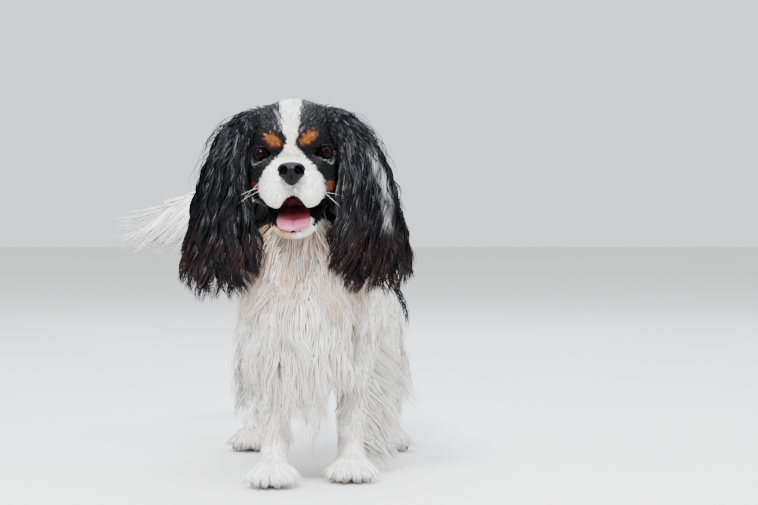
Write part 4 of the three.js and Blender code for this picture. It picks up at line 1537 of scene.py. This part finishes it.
def bumped(tree, height, distance, strength, **settings):
    """The way a surface faces where a pattern raises it, by up to a distance in metres."""
    sockets = {"Height": height, "Distance": distance, "Strength": strength}
    return add_node(tree, "ShaderNodeBump", sockets, **settings).outputs[0]


def new_material(name, sockets):
    """A material with one surface shader, and the tree and the shader to work on."""
    material = bpy.data.materials.new(name)
    material.use_nodes = True
    tree = material.node_tree
    tree.nodes.clear()
    shader = add_node(tree, "ShaderNodeBsdfPrincipled", sockets)
    output = add_node(tree, "ShaderNodeOutputMaterial")
    tree.links.new(shader.outputs[0], output.inputs["Surface"])
    return material, tree, shader


def rgba(colour):
    return (*(float(part) for part in colour), 1.0)


LOCK_SHARE = 2.2


def hair_finish():
    """Keratin hair, washed and brushed: each strand is smooth, so that a lock shines along its bends.
    Most of the light on a strand falls as on the round lock that it is part of: LOCK_SHARE of the
    lock's facing to one of its own."""
    material, tree, shader = new_material("combed_hair", {
        "Roughness": 0.33, "IOR": 1.55, "Specular IOR Level": 0.14,
    })
    facing = attribute(tree, "facing", "Vector")
    own = add_node(tree, "ShaderNodeNewGeometry").outputs["Normal"]
    dot = add_node(tree, "ShaderNodeVectorMath", {0: own, 1: facing}, operation="DOT_PRODUCT")
    side = add_node(tree, "ShaderNodeMath", {0: dot.outputs["Value"]}, operation="SIGN")
    lock = vector_maths(tree, "SCALE", facing, side.outputs[0])
    lock = vector_maths(tree, "SCALE", lock, LOCK_SHARE)
    blend = vector_maths(tree, "ADD", lock, own)
    normal = add_node(tree, "ShaderNodeVectorMath", {0: blend}, operation="NORMALIZE")
    tint = attribute(tree, "coat", "Color")
    set_sockets(tree, shader, {"Base Color": tint, "Normal": normal.outputs[0]})
    return material


def skin_finish():
    """Short hair over skin: streaks a hair's breadth wide, drawn as coarse as 0.8 mm so that they
    show. The lips are wet and shine."""
    material, tree, shader = new_material("short_fur", {
        "Roughness": 0.6, "IOR": 1.5, "Specular IOR Level": 0.1,
    })
    hairs = pattern(tree, "ShaderNodeTexNoise", "Fac", Scale=1250.0, Detail=3.0)
    shade = ranged(tree, hairs, 0.75, 1.15)
    set_sockets(tree, shader, {
        "Base Color": vector_maths(tree, "MULTIPLY", attribute(tree, "coat", "Color"), shade),
        "Normal": bumped(tree, hairs, 0.0006, 0.7),
        "Roughness": ranged(tree, attribute(tree, "wet", "Fac"), 0.6, 0.22),
    })
    return material


# Half-angles of the pupil and of the iris, seen from the middle of the eye [radians].
PUPIL = 0.42
IRIS = 0.74


def eye_finish():
    """Glass eye: a near-black pupil in a dark brown iris with fine rays, a darker rim, and a clear
    wet coat. Its colours go by the angle off the gaze, as a share of half a turn."""
    material, tree, shader = new_material("glass_eye", {
        "Roughness": 0.4, "IOR": 1.4, "Specular IOR Level": 0.02, "Coat Weight": 1.0,
        "Coat Roughness": 0.03, "Coat IOR": 1.12,
    })
    place = add_node(tree, "ShaderNodeUVMap", uv_map="gaze").outputs[0]
    off_gaze = add_node(tree, "ShaderNodeSeparateXYZ", {0: place}).outputs[1]
    rays = add_node(tree, "ShaderNodeMapping", {"Vector": place, "Scale": (26.0, 2.0, 1.0)})
    noise = add_node(tree, "ShaderNodeTexNoise", {
        "Vector": rays.outputs[0], "Scale": 2.0, "Detail": 2.0,
    })
    push = add_node(tree, "ShaderNodeMath", {0: noise.outputs["Fac"], 1: 0.018}, operation="MULTIPLY")
    off = add_node(tree, "ShaderNodeMath", {0: off_gaze, 1: push.outputs[0]}, operation="ADD")
    ramp = add_node(tree, "ShaderNodeValToRGB", {"Fac": off.outputs[0]})
    edge = 0.014
    stops = [
        (PUPIL / np.pi, 0x030203), (PUPIL / np.pi + edge, 0x140A06), (0.19, 0x24120B),
        (IRIS / np.pi, 0x0E0604), (IRIS / np.pi + edge, 0x060405), (0.3, 0x120C0E), (0.35, 0x6E6468),
    ]
    while len(ramp.color_ramp.elements) < len(stops):
        ramp.color_ramp.elements.new(0.5)
    for element, (at, code) in zip(ramp.color_ramp.elements, stops):
        element.position = at
        element.color = rgba(linear(code))
    set_sockets(tree, shader, {"Base Color": ramp.outputs[0]})
    return material


def nose_finish():
    """Nose leather, moist and pebbled: bosses about 0.7 mm across."""
    material, tree, shader = new_material("nose_leather", {
        "Base Color": rgba(linear(0x0A090C)), "Roughness": 0.27, "IOR": 1.45,
        "Specular IOR Level": 0.12,
    })
    bosses = pattern(tree, "ShaderNodeTexVoronoi", "Distance", Scale=1400.0)
    set_sockets(tree, shader, {"Normal": bumped(tree, bosses, 0.0003, 0.5, invert=True)})
    return material


def tongue_finish():
    """Tongue flesh, wet, with papillae about 0.6 mm apart. Light goes a few millimetres into it."""
    material, tree, shader = new_material("tongue_flesh", {
        "Roughness": 0.3, "IOR": 1.4, "Subsurface Weight": 0.25,
        "Subsurface Radius": (0.004, 0.0015, 0.001), "Subsurface Scale": 1.0, "Coat Weight": 0.35,
        "Coat Roughness": 0.15,
    })
    mottle = pattern(tree, "ShaderNodeTexNoise", "Fac", Scale=160.0, Detail=3.0)
    shade = ranged(tree, mottle, 0.75, 1.2)
    buds = pattern(tree, "ShaderNodeTexVoronoi", "Distance", Scale=1600.0)
    set_sockets(tree, shader, {
        "Base Color": vector_maths(tree, "MULTIPLY", attribute(tree, "coat", "Color"), shade),
        "Normal": bumped(tree, buds, 0.0002, 0.4, invert=True),
    })
    return material


def mottled_finish(name, dark, pale, size_mm, roughness):
    """A plain organic finish whose colour drifts between two tones over some millimetres."""
    material, tree, shader = new_material(name, {"Roughness": roughness})
    drift = pattern(tree, "ShaderNodeTexNoise", "Fac", Scale=1000 / size_mm)
    ramp = add_node(tree, "ShaderNodeValToRGB", {"Fac": drift})
    for element, code in zip(ramp.color_ramp.elements, (dark, pale)):
        element.color = rgba(linear(code))
    normal = bumped(tree, drift, 0.0002, 0.3)
    set_sockets(tree, shader, {"Base Color": ramp.outputs[0], "Normal": normal})
    return material


# Pieces


# What a shape's points may hold, with the kind of each value.
POINT_VALUES = [
    ("coat", "FLOAT_COLOR", "color"),
    ("wet", "FLOAT", "value"),
    ("facing", "FLOAT_VECTOR", "vector"),
]


def make_piece(name, shapes, material, nodes=(), uv_map=None):
    """Joins shapes in one mesh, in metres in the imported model's place, riding on the dog's one body.
    Their maps lie side by side."""
    starts = np.cumsum([0] + [len(shape["vertices"]) for shape in shapes])[:-1]
    vertices = np.vstack([shape["vertices"] for shape in shapes])
    quads = np.vstack([shape["quads"] + start for shape, start in zip(shapes, starts)])
    threes = np.vstack([shape["threes"] + start for shape, start in zip(shapes, starts)])
    corner = np.concatenate([quads.ravel(), threes.ravel()])
    sizes = np.concatenate([np.full(len(quads), 4), np.full(len(threes), 3)])
    mesh = bpy.data.meshes.new(name)
    mesh.vertices.add(len(vertices))
    mesh.vertices.foreach_set("co", ((vertices + ORIGIN) * 0.001).astype(np.float32).ravel())
    mesh.loops.add(len(corner))
    mesh.loops.foreach_set("vertex_index", corner.astype(np.int32))
    mesh.polygons.add(len(sizes))
    mesh.polygons.foreach_set("loop_start", (np.cumsum(sizes) - sizes).astype(np.int32))
    mesh.update(calc_edges=True)
    mesh.shade_smooth()
    for key, kind, field_name in POINT_VALUES:
        if key not in shapes[0]:
            continue
        value = np.concatenate([shape[key] for shape in shapes])
        if key == "coat":
            value = np.column_stack([value, np.ones(len(value))])
        held = mesh.attributes.new(key, kind, "POINT")
        held.data.foreach_set(field_name, value.astype(np.float32).ravel())
    if uv_map:
        uv = np.vstack([
            (shape["uv"] + [i, 0]) / [len(shapes), 1] + shape.get("patch", 0)
            for i, shape in enumerate(shapes)
        ])[corner]
        mesh.uv_layers.new(name=uv_map).data.foreach_set("uv", uv.astype(np.float32).ravel())
    mesh.materials.append(material)
    piece = bpy.data.objects.new(name, mesh)
    bpy.context.scene.collection.objects.link(piece)
    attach(piece, "root")
    if nodes:
        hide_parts(*nodes)


def face_coat():
    """The short coat of the head and the chin: shortest round the nose, longer on the crown and
    behind."""
    def length(p):
        q = dog_to_head(p)
        _, y, z = q.T
        plain = 3.4 + 5 * smooth(-35, 25, y) + 6 * smooth(25, 75, y)
        plain = plain + 4 * smooth(22, 50, z) + 8 * smooth(-56, -74, z)
        return plain * mix(0.45, 1, smooth(1, 8, mouth_distance(q)))

    def lift(p):
        _, y, z = dog_to_head(p).T
        return 1.1 + 1.2 * smooth(-30, 40, y) + 1.5 * smooth(40, 75, y) + 3.2 * smooth(22, 50, z)

    def half(p):
        return mix(0.26, 0.5, smooth(-20, 50, dog_to_head(p)[:, 1]))

    def weight(p):
        return mix(1.7, 0.8, smooth(-20, 30, dog_to_head(p)[:, 1]))

    return [
        short_coat(["head", "jaw"], count=16600, rings=3, length=length, lift=lift, half=half,
                   weight=weight, seed=171, lock_size=5, pull=0.35, lean=0.25),
    ]


def crown_coat():
    """Longer hair of the crown and the back of the head, which lies over the short coat in smooth
    sheets."""
    def weight(p):
        _, y, z = dog_to_head(p).T
        return smooth(18, 30, z + 0.5 * y) * smooth(-16, -4, y)

    return [
        short_coat(["head"], count=2200, rings=6, length=21, lift=4.6, half=0.42, weight=weight,
                   seed=173, lock_size=14, pull=0.5, wave=(0.8, 30.0), lean=0.5),
    ]


def trunk_coat(side):
    """The coat of one side of the trunk, in flat waves. It stands off behind the left elbow."""
    def weight(p):
        return np.where(p[:, 0] * side > 0, 1.0, 0.0) + 1e-9

    def lift(p):
        x, y, z = p.T
        return 8.5 + 8 * smooth(50, 68, x) * smooth(235, 205, z) * smooth(62, 84, y)

    return [
        short_coat(["trunk", "ruff"], count=4000, rings=5, length=30, lift=lift, half=0.78,
                   weight=weight, seed=151 + side, lock_size=10, pull=0.5, wave=(1.8, 40.0)),
    ]


def neck_coat():
    """The coat of the neck, which stands off at both sides below the ears."""
    def lift(p):
        x, y, z = p.T
        return 7.5 + 9 * smooth(24, 38, np.abs(x + 13)) * smooth(254, 276, z) * smooth(-8, 4, y)

    return [
        short_coat(["neck"], count=3100, rings=5, length=30, lift=lift, half=0.62, weight=1,
                   seed=153, lock_size=10, pull=0.5, wave=(1.2, 40.0)),
    ]


field = build_skin()
skin = Skin()


def skin_shape():
    """The dog's skin, with its colours and how wet it is."""
    colour, wet = skin_colour(skin.points, part_names(skin.points))
    return {
        "vertices": skin.points,
        "quads": skin.quads,
        "threes": NO_THREES,
        "coat": colour,
        "wet": wet,
    }


def build_dog():
    hair = hair_finish()
    flesh_nodes = ["head", "jaw", "neck", "trunk", "tail", "ear_left", "ear_right", *LEGS]
    make_piece("skin", [skin_shape()], skin_finish(), flesh_nodes)
    glass = eye_finish()
    rim = mottled_finish("lid_rim_skin", 0x0B090B, 0x1B1518, 3, 0.35)
    # The lower lids' wet edges are coloured pale blue-grey: a painted reflection of the light on them.
    lid_edge_shine = mottled_finish("lid_edge_painted_shine", 0x8D8AA0, 0xC3C2D4, 2, 0.12)
    for side, word in ((-1, "right"), (1, "left")):
        make_piece(f"eyeball_{word}", [eyeball(side)], glass, [f"eye_{word}"], "gaze")
        make_piece(f"lid_rims_{word}", [lid_rims(side)], rim)
        make_piece(f"lid_edge_{word}", [wet_line(side)], lid_edge_shine)
        make_piece(f"ear_hair_{word}", ear_hair(side), hair, uv_map="OFBake")
        make_piece(f"trunk_coat_{word}", trunk_coat(side), hair, uv_map="OFBake")
    make_piece("nose_tip", [nose_leather()], nose_finish(), ["nose"])
    make_piece("tongue_blade", [tongue_shape()], tongue_finish(), ["tongue"])
    beds = [
        ("face_coat", face_coat, "coat_black"),
        ("crown_coat", crown_coat, "coat_black"),
        ("chest_hair", chest_hair, "coat_white"),
        ("belly_hair", belly_hair, "coat_white"),
        ("neck_coat", neck_coat, "coat_white"),
        ("tail_hair", tail_hair, "coat_white"),
        ("whiskers", whiskers, "coat_white"),
    ]
    for name, grown, slot in beds:
        make_piece(name, grown(), hair, uv_map="OFBake")
    horn = mottled_finish("claw_horn", 0x2B2422, 0x6B5E55, 4, 0.35)
    for name in LEGS:
        make_piece(f"{name}_coat", leg_hair(name), hair, uv_map="OFBake")
        make_piece(f"{name}_claws", claws(name), horn)


def flat_mesh(name, points, material):
    mesh = bpy.data.meshes.new(name)
    mesh.from_pydata(points, [], [(0, 1, 2, 3)])
    mesh.materials.append(material)
    made = bpy.data.objects.new(name, mesh)
    bpy.context.scene.collection.objects.link(made)
    return made


# The lamps: name, place and side in metres, power in watts, and colour. All look at LAMPS_LOOK_AT.
LAMPS = [
    ("key", (-0.5, -2.0, 2.3), 0.6, 185.0, 0xFAFBFF),
    ("sky", (0.1, -0.2, 2.8), 2.6, 185.0, 0xE6F0FF),
    ("fill", (1.9, -1.6, 1.2), 2.0, 60.0, 0xFFFBF6),
    ("rim", (0.5, 2.2, 1.9), 1.5, 45.0, 0xEEF4FF),
]
LAMPS_LOOK_AT = np.array([0, 0, 0.22])


def build_studio():
    """A plain pale floor, wide enough to reach its own horizon, under wide soft lamps."""
    floor_paint = mottled_finish("matt_floor_paint", 0xDCDAD6, 0xE4E2DE, 400, 0.9)
    floor = flat_mesh("floor", [(-12, -12, 0), (12, -12, 0), (12, 12, 0), (-12, 12, 0)], floor_paint)
    world = bpy.data.worlds.new("studio")
    world.use_nodes = True
    sky = world.node_tree.nodes["Background"]
    set_sockets(world.node_tree, sky, {"Color": rgba(linear(0xEDF1F6)), "Strength": 1.5})
    bpy.context.scene.world = world
    for name, place, size, power, code in LAMPS:
        light = bpy.data.lights.new(name, "AREA")
        light.shape = "SQUARE"
        light.size = size
        light.energy = power
        light.color = linear(code)
        lamp = bpy.data.objects.new(name, light)
        lamp.location = place
        lamp.rotation_euler = look_along(LAMPS_LOOK_AT - np.array(place))
        lamp.visible_glossy = name != "fill"
        bpy.context.scene.collection.objects.link(lamp)


def look_along(way):
    """Turns for a lamp or a camera, which look down their own -Z, so that it looks along a way."""
    x, y, z = way / np.linalg.norm(way)
    return (np.arccos(-z), 0.0, np.arctan2(-x, y))


# The camera of the photograph, in the dog's frame: an 85 mm lens on a 36 mm frame, 1.86 m ahead of
# the dog.
CAMERA_PLACE = np.array([68.0, -1860.0, 280.0])
CAMERA_PITCH = np.radians(-1.33)


def build_camera():
    data = bpy.data.cameras.new("camera")
    data.lens = 85.0
    data.sensor_width = 36.0
    data.clip_end = 60.0
    camera = bpy.data.objects.new("camera", data)
    camera.location = (CAMERA_PLACE + ORIGIN) * 0.001
    camera.rotation_euler = (np.pi / 2 + CAMERA_PITCH, 0, 0)
    bpy.context.scene.collection.objects.link(camera)
    bpy.context.scene.camera = camera


build_dog()
build_studio()
build_camera()
